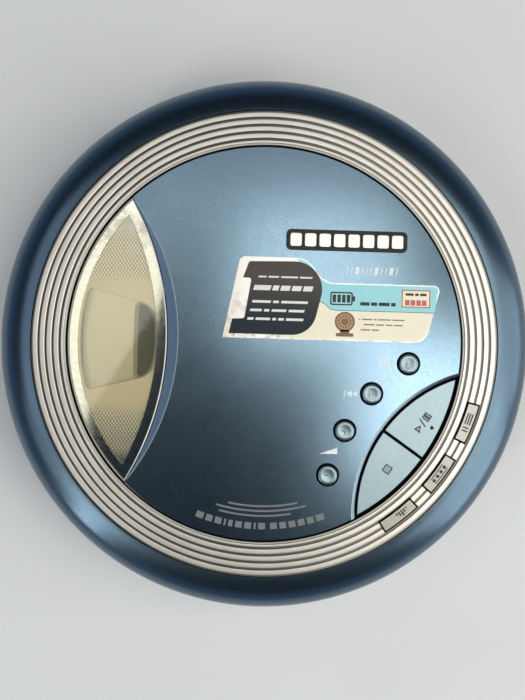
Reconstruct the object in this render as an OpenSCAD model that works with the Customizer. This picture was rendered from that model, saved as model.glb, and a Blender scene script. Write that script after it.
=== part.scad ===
// Round portable disc player: clamshell casing, controls and display in the lid,
// spindle, optical sled and two AA cells in the base.
// Millimetres. Origin on the table under the spindle axis, +Z up, +Y to the hinge.

/* [Casing] */
// Outer diameter of the casing
body_d = 134; // [134:0.5:136]
// Height of the seam between base and lid above the table
seam_z = 19.6; // [19.6:0.05:19.7]
// Clear radius of the disc well
well_r = 61.3; // [61:0.1:61.4]
// Thickness of the outer wall
wall = 1.9; // [1.8:0.05:1.9]

/* [Lid face] */
// Height of the flat lid panel above the table
panel_z = 27.6; // [27.6:0.05:27.7]
// Radius of the flat lid panel
panel_r = 49.05; // [48.8:0.05:49.1]
// Number of full ridges on the trim ring
ridges = 4; // [4:1:4]
// Radial pitch of the ridges
ridge_pitch = 1.74; // [1.7:0.01:1.76]
// Height of a ridge above its groove
ridge_h = 0.55; // [0.3:0.05:0.7]

/* [Keys] */
// Direction of the key cluster, from +X
key_axis = -34.4; // [-36:0.1:-33]
// Direction of the middle key in the ring, from +X
bar_axis = -34.95; // [-36:0.05:-34]
// Radius of a round key
round_key_r = 2.45; // [2.3:0.05:2.5]
// Radius of a round key's hole
round_hole_r = 2.88; // [2.8:0.02:2.95]

/* [Display] */
// Radius of the window's inner arc
window_arc_r = 69.68; // [69.4:0.05:69.9]
// Width of the mirror border round the display
border_w = 2.6; // [2.4:0.1:3]

/* [Mechanism] */
// Gear module
gear_m = 0.5; // [0.5]
// Backlash taken off each tooth
backlash = 0.14; // [0.1:0.01:0.18]

/* [Hidden] */
$fn = 64;

casing_color = "steelblue";
board_color = [0.1, 0.35, 0.2];
black = [0.1, 0.1, 0.1];

// Casing and hinge
body_r = body_d / 2;
deck_r = body_r - wall - 0.2;
lid_rim_z = seam_z + 0.05;
edge_mid = [57.0, 20.2];    // [radius, z], centre of the lid's rounded edge
hinge = [64, seam_z];       // hinge axis, [y, z]
hinge_half = 20.1;          // half length of the hinge cut-out
ear_x = [-15.5, 12.5];      // low x of each base ear
ear_w = 3;
ear_gap = 0.3;

// Fixings in the base, [x, y]
deck_posts = [[-14, 52], [50, 26], [48, -30], [-14, -52]];
feet = [[34, 42], [34, -42], [-36, 41], [-36, -41]];
dampers = [[-8, -25], [-8, 25.5], [38, -25], [38, 26]];
board_posts = [[12, -31], [-33, -35], [18, -53]];

// Cells: [x, +1 when the button points to +Y, -1 when to -Y]
cells = [[-44.9, 1], [-29.7, -1]];
cell_z = 9.75;
door_pin = [26.2, 2.2];     // axis of the cell door, [y, z]

// Directions of the parts on the side wall, from +X
jack_a = -55;
dc_a = -128;
hold_a = -20;
switch_a = 113;
jack_axis = [0, 8.5];       // [y, z] once turned to jack_a
dc_axis = [0, 8.3];         // [y, z] once turned to dc_a

// Mechanism
chassis_z = [9.4, 10.4];
main_rod = [-17, 13.2];     // [y, z]
side_rod = [16.2, 14.0];    // [y, z]
lens_x = 24;
ball_dirs = [90, 210, 330];
ball_z = 20;
wheel_teeth = 32;
rack_gear_teeth = 12;
pinion_teeth = 10;
gear_c = [24, 23];
pinion_dir = 65;
pinion_c = gear_c
  + polar((wheel_teeth + pinion_teeth) * gear_m / 2 + 0.03, pinion_dir);
rack_y = gear_c.y - rack_gear_teeth * gear_m / 2;

// Main board
board_z = [4.4, 5.4];
board_top = board_z[1];

// Lid face
window_c = [-93.8, 0];      // centre of the window's inner arc
crescent_c = [-78.4, 0];    // centre of the scooped crescent beside the window
control_c = polar(72.26, key_axis);  // centre of the control area's arc
control_r = 35.54;
ring_in = 49.35;
ring_out = 57.95;
first_ridge_r = 51.69;
lid_screw_pts = [for (a = [60, 120, 190, 250, 290, 350]) polar(60, a)];
lid_board_z = [22.95, 23.75];

// Keys
round_key_pts = [for (k = [[36.25, 28.15], [29.48, 11.1], [29.48, -11.1], [36.25, -28.15]])
  polar(k[0], key_axis + k[1])];
wedge_a = 13;               // angle from key_axis to the middle of a wedge key
bar_step = 15.35;
bar_dirs = [for (k = [-1:1]) bar_axis + k * bar_step];
bar_r = [52.6, 55.8];       // inner and outer radius of a bar key's hole
bar_half_a = 5.35;
flange_z = [25.93, 26.3];   // retaining flange under each key
pad_z = 25.85;              // underside of each key's pad

// ---------- helpers: x, y and z ranges are [from, to] ----------
function polar(r, a) = [r * cos(a), r * sin(a)];
function arc(mid, rx, rz, from, to, n) = [for (i = [0:n])
  let (a = from + (to - from) * i / n) [mid[0] + rx * cos(a), mid[1] + rz * sin(a)]];

module rev(pts) {
  rotate_extrude($fn = 128) polygon(pts);
}
module disc(r, z) {
  translate([0, 0, z[0]]) cylinder(r = r, h = z[1] - z[0], $fn = 128);
}
module ring(r_in, r_out, z) {
  difference() {
    disc(r_out, z);
    disc(r_in, [z[0] - 1, z[1] + 1]);
  }
}
// cylinder along X, at = [y, z]
module rod_x(r, x, at) {
  translate([x[0], at[0], at[1]]) rotate([0, 90, 0]) cylinder(r = r, h = x[1] - x[0]);
}
module box(x, y, z) {
  translate([x[0], y[0], z[0]]) cube([x[1] - x[0], y[1] - y[0], z[1] - z[0]]);
}
// upright cylinder, at = [x, y]
module post(at, r, z) {
  translate([at[0], at[1], z[0]]) cylinder(r = r, h = z[1] - z[0]);
}

module cross_recess(at, length, width, z) {
  box(at.x + [-length, length] / 2 * 1, at.y, z);
}

// cross-shaped cutter for a screw head
module cross_cut(at, length, width, z) {
  l = length / 2;
  w = width / 2;
  box([at.x - l, at.x + l], [at.y - w, at.y + w], z);
  box([at.x - w, at.x + w], [at.y - l, at.y + l], z);
}
// pan head screw with a cross recess
module screw(at, head_r, head_z, shank_r, shank_z, head_down = true) {
  cut_z = head_down ? head_z[0] - 0.1 : head_z[1] - 0.45;
  difference() {
    union() {
      post(at, shank_r, shank_z);
      post(at, head_r, head_z);
    }
    cross_cut(at, head_r * 1.24, 0.44, [cut_z, cut_z + 0.55]);
  }
}

// closed helix of round wire, along +Z
module coil(start_r, end_r, wire_r, length, turns, steps = 16, sides = 6) {
  n = turns * steps;
  pts = [for (i = [0:n])
    let (a = 360 * i / steps, mid_r = start_r + (end_r - start_r) * i / n, z = length * i / n)
    for (k = [0:sides - 1])
      let (b = 360 * k / sides, r = mid_r + wire_r * cos(b))
      [r * cos(a), r * sin(a), z + wire_r * sin(b)]];
  quads = [for (i = [0:n - 1]) for (k = [0:sides - 1]) let (next = (k + 1) % sides)
    [i * sides + k, i * sides + next, (i + 1) * sides + next, (i + 1) * sides + k]];
  start_cap = [for (k = [0:sides - 1]) sides - 1 - k];
  end_cap = [for (k = [0:sides - 1]) n * sides + k];
  polyhedron(points = pts, faces = concat(quads, [start_cap], [end_cap]));
}

// can with a chamfered bottom edge, a boss on top and a blind bore
module motor(r, bottom, chamfer, boss_r, boss_top, bore_r, bore_bottom) {
  top = 9.35;
  difference() {
    union() {
      rev([[0, bottom], [r - chamfer, bottom], [r, bottom + chamfer], [r, top], [0, top]]);
      disc(boss_r, [9.3, boss_top]);
    }
    disc(bore_r, [bore_bottom, 12]);
  }
}

// ---------- base ----------
// half section of the base, [radius, z]
function base_section(r, bottom, top) = concat(
  [[0, bottom], [59.4, bottom]],
  arc([59.4, 9.0], r - 59.7, 9.0 - bottom, -90, 0, 12),
  [[r, 14], [r, top], [0, top]]);

// outside of the closed casing near the seam, [radius, z]
casing_limit = concat(
  [[0, 8], [body_r - 0.03, 8], [body_r - 0.03, edge_mid[1]]],
  arc(edge_mid, body_r - 57.03, 7.32, 0, 60, 12),
  [[0, 26.54]]);

// room in the base for the lid's barrel and its sweep
module hinge_notch() {
  x = [-hinge_half, hinge_half];
  rod_x(3.3, x, hinge);
  intersection() {
    rod_x(3.95, x, hinge);
    box(x, [hinge[0] + 1, hinge[0] + 9], [hinge[1] - 9, hinge[1] + 9]);
  }
}

module hinge_ear(x0) {
  x = [x0, x0 + ear_w];
  difference() {
    intersection() {
      union() {
        rod_x(3.0, x, hinge);
        box(x, [hinge[0] - 3.0, hinge[0] + 0.5], [10, hinge[1]]);
      }
      rev(casing_limit);
    }
    rod_x(0.81, [x0 - 1, x0 + 4], hinge);
  }
}

module base_case() {
  color(casing_color) difference() {
    union() {
      difference() {
        rev(base_section(body_r, 0.8, seam_z - 0.1));
        rev(base_section(body_r - wall, 2.4, seam_z + 5));
        hinge_notch();
      }
      // walls round the cells, and the rib between them
      difference() {
        box([-54.3, -20.2], [-29.2, 29.2], [2, 16.4]);
        box([-53.1, -21.4], [-28.0, 28.0], [1, 17]);
      }
      box([-37.7, -36.9], [-28, 28], [13, 16.4]);
      for (p = deck_posts) post(p, 2.9, [2, 5.9]);
      for (p = board_posts) post(p, 2.2, [2, 4.35]);
      for (p = dampers) post(p, 2.4, [2, 7.3]);
      for (x = ear_x) hinge_ear(x);
      // seat of the lid switch
      rotate([0, 0, switch_a]) box([60.2, 62.8], [-2.2, 2.2], [2, 10.4]);
      // rib that holds the latch spring
      box([-12.6, -11.6], [-63.6, -60.5], [2, 16.5]);
    }
    // opening, snap recess and pin sockets of the cell door
    box([-52.9, -21.6], [-27.6, 27.9], [0, 4.3]);
    box([-34.2, -29.9], [-28.7, -27], [2.6, 3.6]);
    rod_x(0.75, [-54.0, -20.8], door_pin);
    // screw holes and foot recesses
    for (p = deck_posts) {
      post(p, 2.3, [0, 4]);
      post(p, 1.15, [3, 6]);
    }
    for (p = feet) post(p, 4.1, [0, 1.5]);
    for (p = board_posts) post(p, 0.85, [2.6, 5]);
    for (p = dampers) post(p, 0.85, [2.6, 8]);
    // slots and holes in the side wall: open slider, hold knob, jacks
    box([-4.8, 7.8], [-body_r - 1, -62.5], [12.7, 16.5]);
    rotate([0, 0, hold_a]) box([62.5, body_r + 1], [-3.3, 5.3], [9.7, 12.9]);
    rotate([0, 0, jack_a]) rod_x(3.15, [60, body_r + 1], jack_axis);
    rotate([0, 0, dc_a]) rod_x(2.95, [60, body_r + 1], dc_axis);
  }
}

module rubber_feet() {
  color([0.12, 0.12, 0.13]) for (p = feet) translate([p.x, p.y, 0])
    rotate_extrude($fn = 64) polygon([[0, 0], [3.5, 0], [3.95, 0.45], [3.95, 1.45], [0, 1.45]]);
}

module battery_door() {
  x = [-52.5, -22.0];
  catch_x = [-33.6, -30.5];
  color(casing_color) difference() {
    union() {
      box(x, [-27.2, door_pin[0]], [0.85, 2.3]);
      rod_x(1.15, x, door_pin);
      rod_x(0.7, [-53.6, -21.2], door_pin);
      // snap catch
      box(catch_x, [-27.1, -26.3], [2.0, 3.6]);
      box(catch_x, [-27.5, -26.3], [2.8, 3.5]);
    }
    // finger grip
    for (i = [0:4])
      box([-42, -32.5], [-24.5 + i * 1.6, -23.7 + i * 1.6], [0.5, 1.15]);
  }
}

module aa_cells() {
  color([0.25, 0.27, 0.3]) for (cell = cells)
    translate([cell[0], 0, cell_z]) rotate([-90 * cell[1], 0, 0]) translate([0, 0, -24.6])
      rotate_extrude($fn = 64) polygon([[0, 0], [6.4, 0], [7.1, 0.5], [7.1, 48.0],
        [6.5, 48.6], [2.75, 48.6], [2.75, 49.9], [0, 49.9]]);
}

module battery_contacts() {
  color("silver") for (cell = cells)
    translate([cell[0], 0, 0]) rotate([0, 0, cell[1] > 0 ? 0 : 180]) {
      // plate and raised pad at the button, then plate at the flat end
      box([-6, 6], [27.1, 27.5], [5, 15]);
      box([-3.5, 3.5], [25.45, 27.1], [9.0, 10.7]);
      box([-6, 6], [-27.6, -27.25], [5, 15]);
    }
}

module battery_springs() {
  color("silver") for (cell = cells)
    translate([cell[0], -24.95 * cell[1], cell_z]) rotate([90 * cell[1], 0, 0])
      coil(start_r = 2.1, end_r = 4.2, wire_r = 0.28, length = 1.95, turns = 2);
}

module disc_deck() {
  color([0.16, 0.17, 0.19]) difference() {
    union() {
      disc(deck_r, [17.0, 18.0]);
      ring(well_r, deck_r, [17.0, 19.35]);
      for (p = deck_posts) post(p, 2.7, [6.0, 17.5]);
      // raised ring round the turntable, open at the sled slot
      difference() {
        ring(15.6, 17.0, [17.5, 18.45]);
        box([0, 20], [-13.4, 13.4], [17, 19]);
      }
    }
    // turntable hole and sled slot
    disc(15.6, [10, 19]);
    intersection() {
      box([0, 70], [-12.2, 12.2], [16, 18.6]);
      disc(60.7, [16, 19]);
    }
    // notches at the hinge and the latch
    box([-20.4, 20.4], [60.55, 80], [10, 25]);
    box([-4.2, 4.2], [-63.5, -60.4], [16, 25]);
    for (p = deck_posts) post(p, 0.95, [5, 15]);
    // shallow finger scoops at the edge of the well
    for (a = [0, 180]) rotate([0, 0, a]) post([body_r + 3.2, 0], 11, [18, 21]);
    // window of the lid switch
    rotate([0, 0, switch_a]) box([61.9, 64.0], [-1.8, 1.8], [16, 20]);
  }
}

module case_screws() {
  color("dimgray") for (p = deck_posts) screw(p, 2.0, [2.9, 4.0], 0.9, [3.9, 13.5]);
}

// ---------- mechanism ----------
module mech_chassis() {
  top = chassis_z[1];
  color("silver") difference() {
    union() {
      intersection() {
        union() {
          box([-15, 61.2], [-20.4, 19.6], chassis_z);
          // damper lugs
          for (p = dampers) {
            post(p, 5.2, chassis_z);
            box([p.x - 4, p.x + 4], p.y > 0 ? [15, p.y] : [p.y, -15], chassis_z);
          }
          post(gear_c, 7, chassis_z);
          post(pinion_c, 8.2, chassis_z);
        }
        disc(61.8, [9, 16]);
      }
      // brackets at both ends of the rods
      for (x = [[8.8, 11.2], [58.5, 60.0]]) {
        box(x, [-18.8, -14.4], [top, 15.4]);
        box(x, [14.7, 17.6], [top, 15.8]);
      }
      // stiffening flange and the gear's riveted post
      box([-15, -14], [-14, 14], [top, 12.6]);
      post(gear_c, 0.75, [10.3, 15.3]);
    }
    // sled opening, motor holes, damper holes and rod bores
    box([12.4, 80], [-14.1, 14.2], [5, 12]);
    post([0, 0], 3.75, [5, 12]);
    post(pinion_c, 2.25, [5, 12]);
    for (p = dampers) post(p, 2.6, [5, 12]);
    rod_x(1.51, [5, 65], main_rod);
    rod_x(1.01, [5, 65], side_rod);
  }
}

module damper_grommets() {
  color(black) for (p = dampers) translate([p.x, p.y, 0])
    rotate_extrude($fn = 48) polygon([[1.5, 7.4], [4.2, 7.4], [4.4, 8.2], [4.2, 9.3],
      [2.5, 9.35], [2.5, 10.45], [4.2, 10.5], [4.4, 11.3], [4.0, 12.2], [1.5, 12.2]]);
}

module damper_screws() {
  color("dimgray") for (p = dampers) difference() {
    union() {
      post(p, 1.4, [7.4, 12.3]);
      post(p, 0.8, [3, 7.4]);
      post(p, 3.4, [12.3, 13.0]);
    }
    cross_cut(p, 3.2, 0.5, [12.6, 13.1]);
  }
}

module spindle_motor() {
  color("silver") motor(r = 11.5, bottom = 3.4, chamfer = 0.7, boss_r = 3.6, boss_top = 11.2,
    bore_r = 1.05, bore_bottom = 4.6);
}

module spindle_shaft() {
  color("silver") disc(1.0, [4.8, 20.6]);
}

module turntable_hub() {
  color([0.9, 0.9, 0.88]) difference() {
    rev([[0, 12.2], [4.6, 12.2], [5.0, 16.5], [5.0, 17.7], [14.0, 17.9], [14.0, 18.95],
      [7.6, 18.95], [7.4, 19.2], [7.4, 20.6], [6.7, 21.15], [3.4, 21.15], [3.0, 20.7],
      [0, 20.7]]);
    disc(1.005, [12, 20.65]);
    for (a = ball_dirs) rotate([0, 0, a]) rod_x(0.95, [5.2, 8.5], [0, ball_z]);
  }
}

module turntable_mat() {
  color([0.15, 0.15, 0.15]) ring(10.2, 13.6, [18.95, 19.2]);
}

module chuck_balls() {
  color("silver") for (a = ball_dirs)
    rotate([0, 0, a]) translate([6.4, 0, ball_z]) sphere(r = 0.9, $fn = 48);
}

module guide_rods() {
  x = [8.8, 60.0];
  color("silver") {
    rod_x(1.5, x, main_rod);
    rod_x(1.0, x, side_rod);
  }
}

// involute angle at radius r over a base radius, in degrees
function involute(r, base_r) = r <= base_r ? 0 :
  let (t = sqrt(r * r / base_r / base_r - 1)) t * 180 / PI - atan(t);

// half angle of a tooth at radius r, on a gear of n teeth
function half_tooth(n, r) = let (pitch_r = n * gear_m / 2, base_r = pitch_r * cos(20))
  90 / n - backlash / 2 / pitch_r * 90 / PI + involute(pitch_r, base_r) - involute(r, base_r);

tooth_tip = 0.4;    // height of a tooth beyond the pitch line
tooth_root = 0.58;  // depth of a gear tooth below the pitch circle

// spur gear of n teeth, with one tooth centred on the direction phase
module gear(n, phase, z) {
  pitch_r = n * gear_m / 2;
  low = pitch_r - tooth_root;
  high = pitch_r + tooth_tip;
  radii = [for (i = [0:5]) low + (high - low) * i / 5];
  translate([0, 0, z[0]]) linear_extrude(height = z[1] - z[0])
    polygon([for (i = [0:n - 1]) let (mid = phase + 360 * i / n) each concat(
      [for (r = radii) polar(r, mid - half_tooth(n, r))],
      [for (k = [5:-1:0]) polar(radii[k], mid + half_tooth(n, radii[k]))])]);
}

// rack along X, teeth to +Y, with one tooth gap centred on gap_x
module rack(x, gap_x, root_y, pitch_y, z) {
  pitch = PI * gear_m;
  half = (pitch / 2 - backlash) / 2;
  first = ceil((x[0] + 0.8 - gap_x) / pitch - 0.5);
  last = floor((x[1] - 0.8 - gap_x) / pitch - 0.5);
  tip_half = half - tooth_tip * tan(20);
  root_half = half + (pitch_y - root_y) * tan(20);
  tip_y = pitch_y + tooth_tip;
  back_y = root_y - 1.35;
  translate([0, 0, z[0]]) linear_extrude(height = z[1] - z[0]) polygon(concat(
    [[x[0], back_y], [x[0], root_y]],
    [for (k = [first:last]) let (mid = gap_x + (k + 0.5) * pitch) each [
      [mid - root_half, root_y], [mid - tip_half, tip_y],
      [mid + tip_half, tip_y], [mid + root_half, root_y]]],
    [[x[1], root_y], [x[1], back_y]]));
}

module pickup_sled() {
  color([0.2, 0.2, 0.22]) difference() {
    union() {
      // body, bearing block on the main rod, fork on the side rod
      box([lens_x - 10.8, lens_x + 5], [-13.4, 13.4], [7.4, 15.6]);
      box([lens_x - 11.4, lens_x + 0.2], [-19.5, -13], [10.75, 15.6]);
      box([lens_x - 4.2, lens_x + 0.6], [13, 18.4], [12.35, 15.8]);
      rack([-12.5, 26.6], gear_c.x, 19.35, rack_y, [12.9, 14.3]);
    }
    rod_x(1.55, [0, 60], main_rod);
    box([-10, 60], [15.0, 17.4], [12.95, 15.05]);
    // lens well, and the narrow slot on its -X side
    box([lens_x - 5.6, lens_x + 4.1], [-10.6, 10.6], [11.2, 18]);
    box([lens_x - 9.6, lens_x - 6.6], [-11.5, 11.5], [14.6, 18]);
    // chamfer of the bearing block and recess under the optics
    translate([0, -19.5, 15.6]) rotate([45, 0, 0]) box([-1, 60], [-1.2, 1.2], [-1.2, 1.2]);
    box([lens_x - 8.5, lens_x + 3], [-10, 10], [6, 8.6]);
  }
}

module actuator_magnets() {
  color("dimgray") for (y = [-8.1, 8.1])
    box([lens_x - 4.2, lens_x + 2.8], [y - 1.5, y + 1.5], [11.2, 15.8]);
}

module lens_holder() {
  color([0.1, 0.1, 0.11]) difference() {
    union() {
      box([lens_x - 4.4, lens_x + 3.2], [-5.4, 5.4], [12.6, 15.9]);
      post([lens_x, 0], 3.1, [15.8, 16.5]);
    }
    post([lens_x, 0], 1.9, [11, 18]);
  }
}

module objective_lens() {
  r = 1.88;
  color([0.75, 0.8, 0.95, 0.6]) translate([lens_x, 0, 0]) rotate_extrude($fn = 64)
    polygon(concat([[0, 15.2], [r, 15.2]], arc([0, 16.3], r, 1.0, 0, 90, 10)));
}

module feed_gear() {
  color([0.93, 0.92, 0.86]) translate([gear_c.x, gear_c.y, 0]) difference() {
    union() {
      gear(wheel_teeth, pinion_dir, [10.85, 11.95]);
      gear(rack_gear_teeth, -90, [11.9, 14.8]);
      disc(1.7, [10.6, 15.0]);
    }
    disc(0.8, [10, 16]);
    for (a = [0:60:359]) post(polar(5.2, a), 1.1, [10, 11.96]);
  }
}

module feed_pinion() {
  color([0.85, 0.72, 0.3]) translate([pinion_c.x, pinion_c.y, 0]) {
    // a gap faces the wheel's tooth
    gear(pinion_teeth, pinion_dir + 180 + 180 / pinion_teeth, [10.8, 12.1]);
    disc(0.7, [7.8, 12.5]);
  }
}

module feed_motor() {
  color("silver") translate([pinion_c.x, pinion_c.y, 0])
    motor(r = 6.5, bottom = 3.3, chamfer = 0.5, boss_r = 2.1, boss_top = 10.5,
      bore_r = 0.75, bore_bottom = 7.6);
}

// ---------- electronics in the base ----------
module main_board() {
  cut_z = [4, 6];
  color(board_color) difference() {
    intersection() {
      disc(61.3, board_z);
      union() {
        box([-70, 70], [-70, -29.8], cut_z);
        box([-19.4, 70], [-70, -20.5], cut_z);
      }
    }
    for (p = deck_posts) post(p, 3.1, cut_z);
    for (p = board_posts) post(p, 1.0, cut_z);
    for (p = dampers) post(p, 3.0, cut_z);
    box([-13.2, 14], [-70, -58.6], cut_z);
  }
}

// [x, y, width, depth, height], x and y at the middle
chips = [[24, -36, 12, 12, 1.5], [-2, -38, 9, 9, 1.4], [-22, -46, 8, 5, 1.4],
  [6, -50, 6, 4, 1.3], [34, -29, 5, 4, 1.2]];
module board_chips() {
  color([0.08, 0.08, 0.09]) {
    for (c = chips)
      box([c[0] - c[2] / 2, c[0] + c[2] / 2], [c[1] - c[3] / 2, c[1] + c[3] / 2],
        [board_top, board_top + c[4]]);
    // ribbon and cable connectors
    box([19, 31], [-26.6, -23.6], [board_top, 7.2]);
    box([-14, -4], [-33.0, -30.4], [board_top, 7.2]);
    box([37, 42], [-39.5, -36.5], [board_top, 7.6]);
  }
}

// [x, y, radius]
capacitors = [[-27, -39, 2.5], [-6, -46, 2.0], [42.5, -33.5, 1.8], [-17.5, -38.5, 2.0],
  [2, -29, 1.6], [22.5, -46.5, 2.2]];
module board_capacitors() {
  color([0.75, 0.76, 0.8]) for (c = capacitors) translate([c[0], c[1], 0])
    rotate_extrude($fn = 48) polygon([[0, board_top], [c[2], board_top], [c[2], 9.8],
      [c[2] - 0.3, 10.1], [0, 10.1]]);
}

module board_screws() {
  color("dimgray") for (p = board_posts)
    screw(p, 1.8, [board_top, 6.2], 0.8, [3.0, 5.45], head_down = false);
}

// ribbon from the board to the slack loop under the sled
module pickup_flex() {
  x = [20, 30];
  // side views, [z, y]
  rise = [[6.0, -23.5], [6.15, -23.5], [6.3, -18], [6.6, -16], [6.75, -8], [6.6, -8],
    [6.45, -16], [6.15, -18]];
  bend = [[6.6, 6.9], [6.75, 6.9], [6.6, 7.6], [6.2, 8.0], [5.4, 8.0], [4.9, 7.6],
    [4.75, 6.9], [4.9, 6.9], [5.0, 7.4], [5.4, 7.75], [6.15, 7.75], [6.5, 7.4]];
  color([0.85, 0.5, 0.15]) union() {
    for (side = [rise, bend])
      translate([x[1], 0, 0]) rotate([0, -90, 0]) linear_extrude(height = 10) polygon(side);
    box(x, [-8.05, 7], [6.6, 6.75]);
    box(x, [-4, 7], [4.75, 4.9]);
  }
}

module headphone_jack() {
  color(black) rotate([0, 0, jack_a]) difference() {
    union() {
      box([51.6, 63.2], [-4, 4], [5.45, 11.6]);
      rod_x(3.0, [63, 66.4], jack_axis);
    }
    rod_x(1.8, [52.9, 70], jack_axis);
  }
}

module dc_jack() {
  color(black) rotate([0, 0, dc_a]) difference() {
    union() {
      box([54.2, 63.2], [-3.4, 3.4], [5.45, 11.2]);
      rod_x(2.8, [63, 66.4], dc_axis);
    }
    rod_x(2.1, [57.6, 70], dc_axis);
    rod_x(0.91, [55, 58], dc_axis);
  }
}

module dc_jack_pin() {
  color("silver") rotate([0, 0, dc_a]) {
    rod_x(0.65, [57.5, 65.6], dc_axis);
    rod_x(0.9, [55.6, 57.6], dc_axis);
  }
}

module lid_switch() {
  color([0.12, 0.12, 0.12]) rotate([0, 0, switch_a]) {
    box([60.4, 64.5], [-2.8, 2.8], [10.5, 16.6]);
    box([62.2, 63.7], [-1.5, 1.5], [16.5, 19.9]);
  }
}

module hold_knob() {
  color("silver") rotate([0, 0, hold_a]) difference() {
    union() {
      box([63.3, 64.3], [-5.4, 5.4], [9.0, 13.6]);
      box([64.2, body_r + 0.45], [-3.0, 3.0], [9.95, 12.65]);
    }
    // grip grooves
    for (y = [-1.6, -0.2, 1.2]) box([body_r + 0.1, body_r + 2], [y, y + 0.5], [9, 14]);
  }
}

module open_slider() {
  color("silver") difference() {
    union() {
      // plate behind the wall, spring tab, outer knob, latch hook
      box([-9.5, 6.5], [-64.1, -63.25], [12.2, 16.85]);
      box([-7.4, -6.4], [-63.4, -60.9], [13.2, 15.6]);
      box([-4.5, 4.5], [-body_r - 0.5, -64.0], [12.95, 16.25]);
      box([3.15, 5.2], [-63.4, -61.3], [15.7, 16.7]);
    }
    // grip grooves
    for (x = [-3.2:1.2:3]) box([x, x + 0.5], [-body_r - 2, -body_r - 0.1], [12, 18]);
  }
}

module latch_spring() {
  color("silver") translate([-11.35, -62.0, 14.4]) rotate([0, 90, 0])
    coil(start_r = 0.95, end_r = 0.95, wire_r = 0.16, length = 3.6, turns = 5,
      steps = 12, sides = 5);
}

module hinge_pins() {
  color("silver") for (x = [[4.7, 17.0], [-17.0, -8.0]]) rod_x(0.8, x, hinge);
}

module hinge_spring() {
  color("silver") translate([4.9, hinge[0], hinge[1]]) rotate([0, 90, 0])
    coil(start_r = 1.2, end_r = 1.2, wire_r = 0.24, length = 3.2, turns = 5);
}

// ---------- lid ----------
// half section of the lid shell, [radius, z]
lid_section = concat(
  [[body_r, lid_rim_z]],
  arc(edge_mid, body_r - edge_mid[0], 7.35, 0, 81, 16),
  [[58.3, 27.48], [58.12, 27.3], [58.12, 25.4], [46.2, 25.4], [46.2, 24.2]],
  arc([57.0, 19.2], 8.1, 5.0, 90, 5.2, 14),
  [[65.06, lid_rim_z]]);

module knuckle(x) {
  intersection() {
    union() {
      rod_x(3.0, x, hinge);
      box(x, [hinge[0] - 3.0, hinge[0] + 2.7], [hinge[1], 23.2]);
    }
    rev(casing_limit);
  }
}

module lid_shell() {
  color(casing_color) difference() {
    union() {
      rev(lid_section);
      for (x = [[-19.6, -15.8], [-12.2, 4.3], [8.7, 12.2], [15.8, 19.6]]) knuckle(x);
      for (p = lid_screw_pts) post(p, 2.3, [22.85, 25.2]);
    }
    // room for the base ears, the spring and the pins
    for (x = ear_x) rod_x(3.3, [x - ear_gap, x + ear_w + ear_gap], hinge);
    rod_x(2.2, [4.3, 8.7], hinge);
    box([4.3, 8.7], [hinge[0] - 4, hinge[0] + 2.2], [15, hinge[1]]);
    for (x = [[3.9, 20], [-20, -7.6]]) rod_x(0.85, x, hinge);
    for (p = lid_screw_pts) post(p, 0.85, [21, 26.0]);
    // display and switches reach through the ledge
    box([-47.6, -20], [-21, 21], [23, 26]);
    for (a = bar_dirs) rotate([0, 0, a]) box([51, 57.0], [-6.4, 6.4], [23, 25.5]);
    for (s = [-1, 1])
      rotate([0, 0, key_axis + s * wedge_a]) box([40, 48.9], [-4, 4], [23, 25.5]);
  }
}

// sector of an annulus for a bar key or its hole, drawn in by inset and inset_a
module bar_sector(dir, inset, inset_a, z) {
  half_a = bar_half_a - inset_a;
  rotate([0, 0, dir]) intersection() {
    ring(bar_r[0] + inset, bar_r[1] - inset, z);
    translate([0, 0, z[0]]) linear_extrude(height = z[1] - z[0])
      polygon([[0, 0], polar(70, -half_a), polar(70, half_a)]);
  }
}

ridge_top = 27.95;
function ridge_r(k) = first_ridge_r + k * ridge_pitch;
// crowned top of a ridge, [radius, z]
function ridge(mid_r, half_w) = [for (i = [0:6]) let (t = -1 + i / 3)
  [mid_r + half_w * t, ridge_top - 0.16 * t * t]];

module trim_ring() {
  groove = ridge_top - ridge_h;
  section = concat(
    [[ring_in, 25.45], [ring_in, 27.35], [49.5, 27.5], [49.85, 27.5]],
    ridge(50.2, 0.3),
    [[50.6, groove], [50.95, groove]],
    [for (k = [0:ridges - 1]) each concat(ridge(ridge_r(k), 0.6),
      [[ridge_r(k) + 0.68, groove], [ridge_r(k + 1) - 0.72, groove]])],
    [[ring_out, groove], [ring_out, 25.45]]);
  color([0.78, 0.77, 0.74]) difference() {
    rev(section);
    // key holes, wider below for the flanges
    for (a = bar_dirs) {
      bar_sector(a, 0, 0, [25, 29]);
      bar_sector(a, -0.75, -0.85, [25, 26.4]);
    }
  }
}

// overlap of a disc round the spindle axis and the window's arc
module window_shape(rim_r, arc_r, z) {
  intersection() {
    disc(rim_r, z);
    post(window_c, arc_r, z, $fn = 200);
  }
}
module window_inset(inset, z) {
  window_shape(48.95 - inset, window_arc_r - inset, z);
}
module aperture(z) {
  window_shape(45.7, window_arc_r - border_w, z);
}

// overlap of a disc round the spindle axis and the control area
module control_shape(grow, rim_r, z) {
  intersection() {
    disc(rim_r, z);
    post(control_c, control_r + grow, z, $fn = 160);
  }
}

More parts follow.
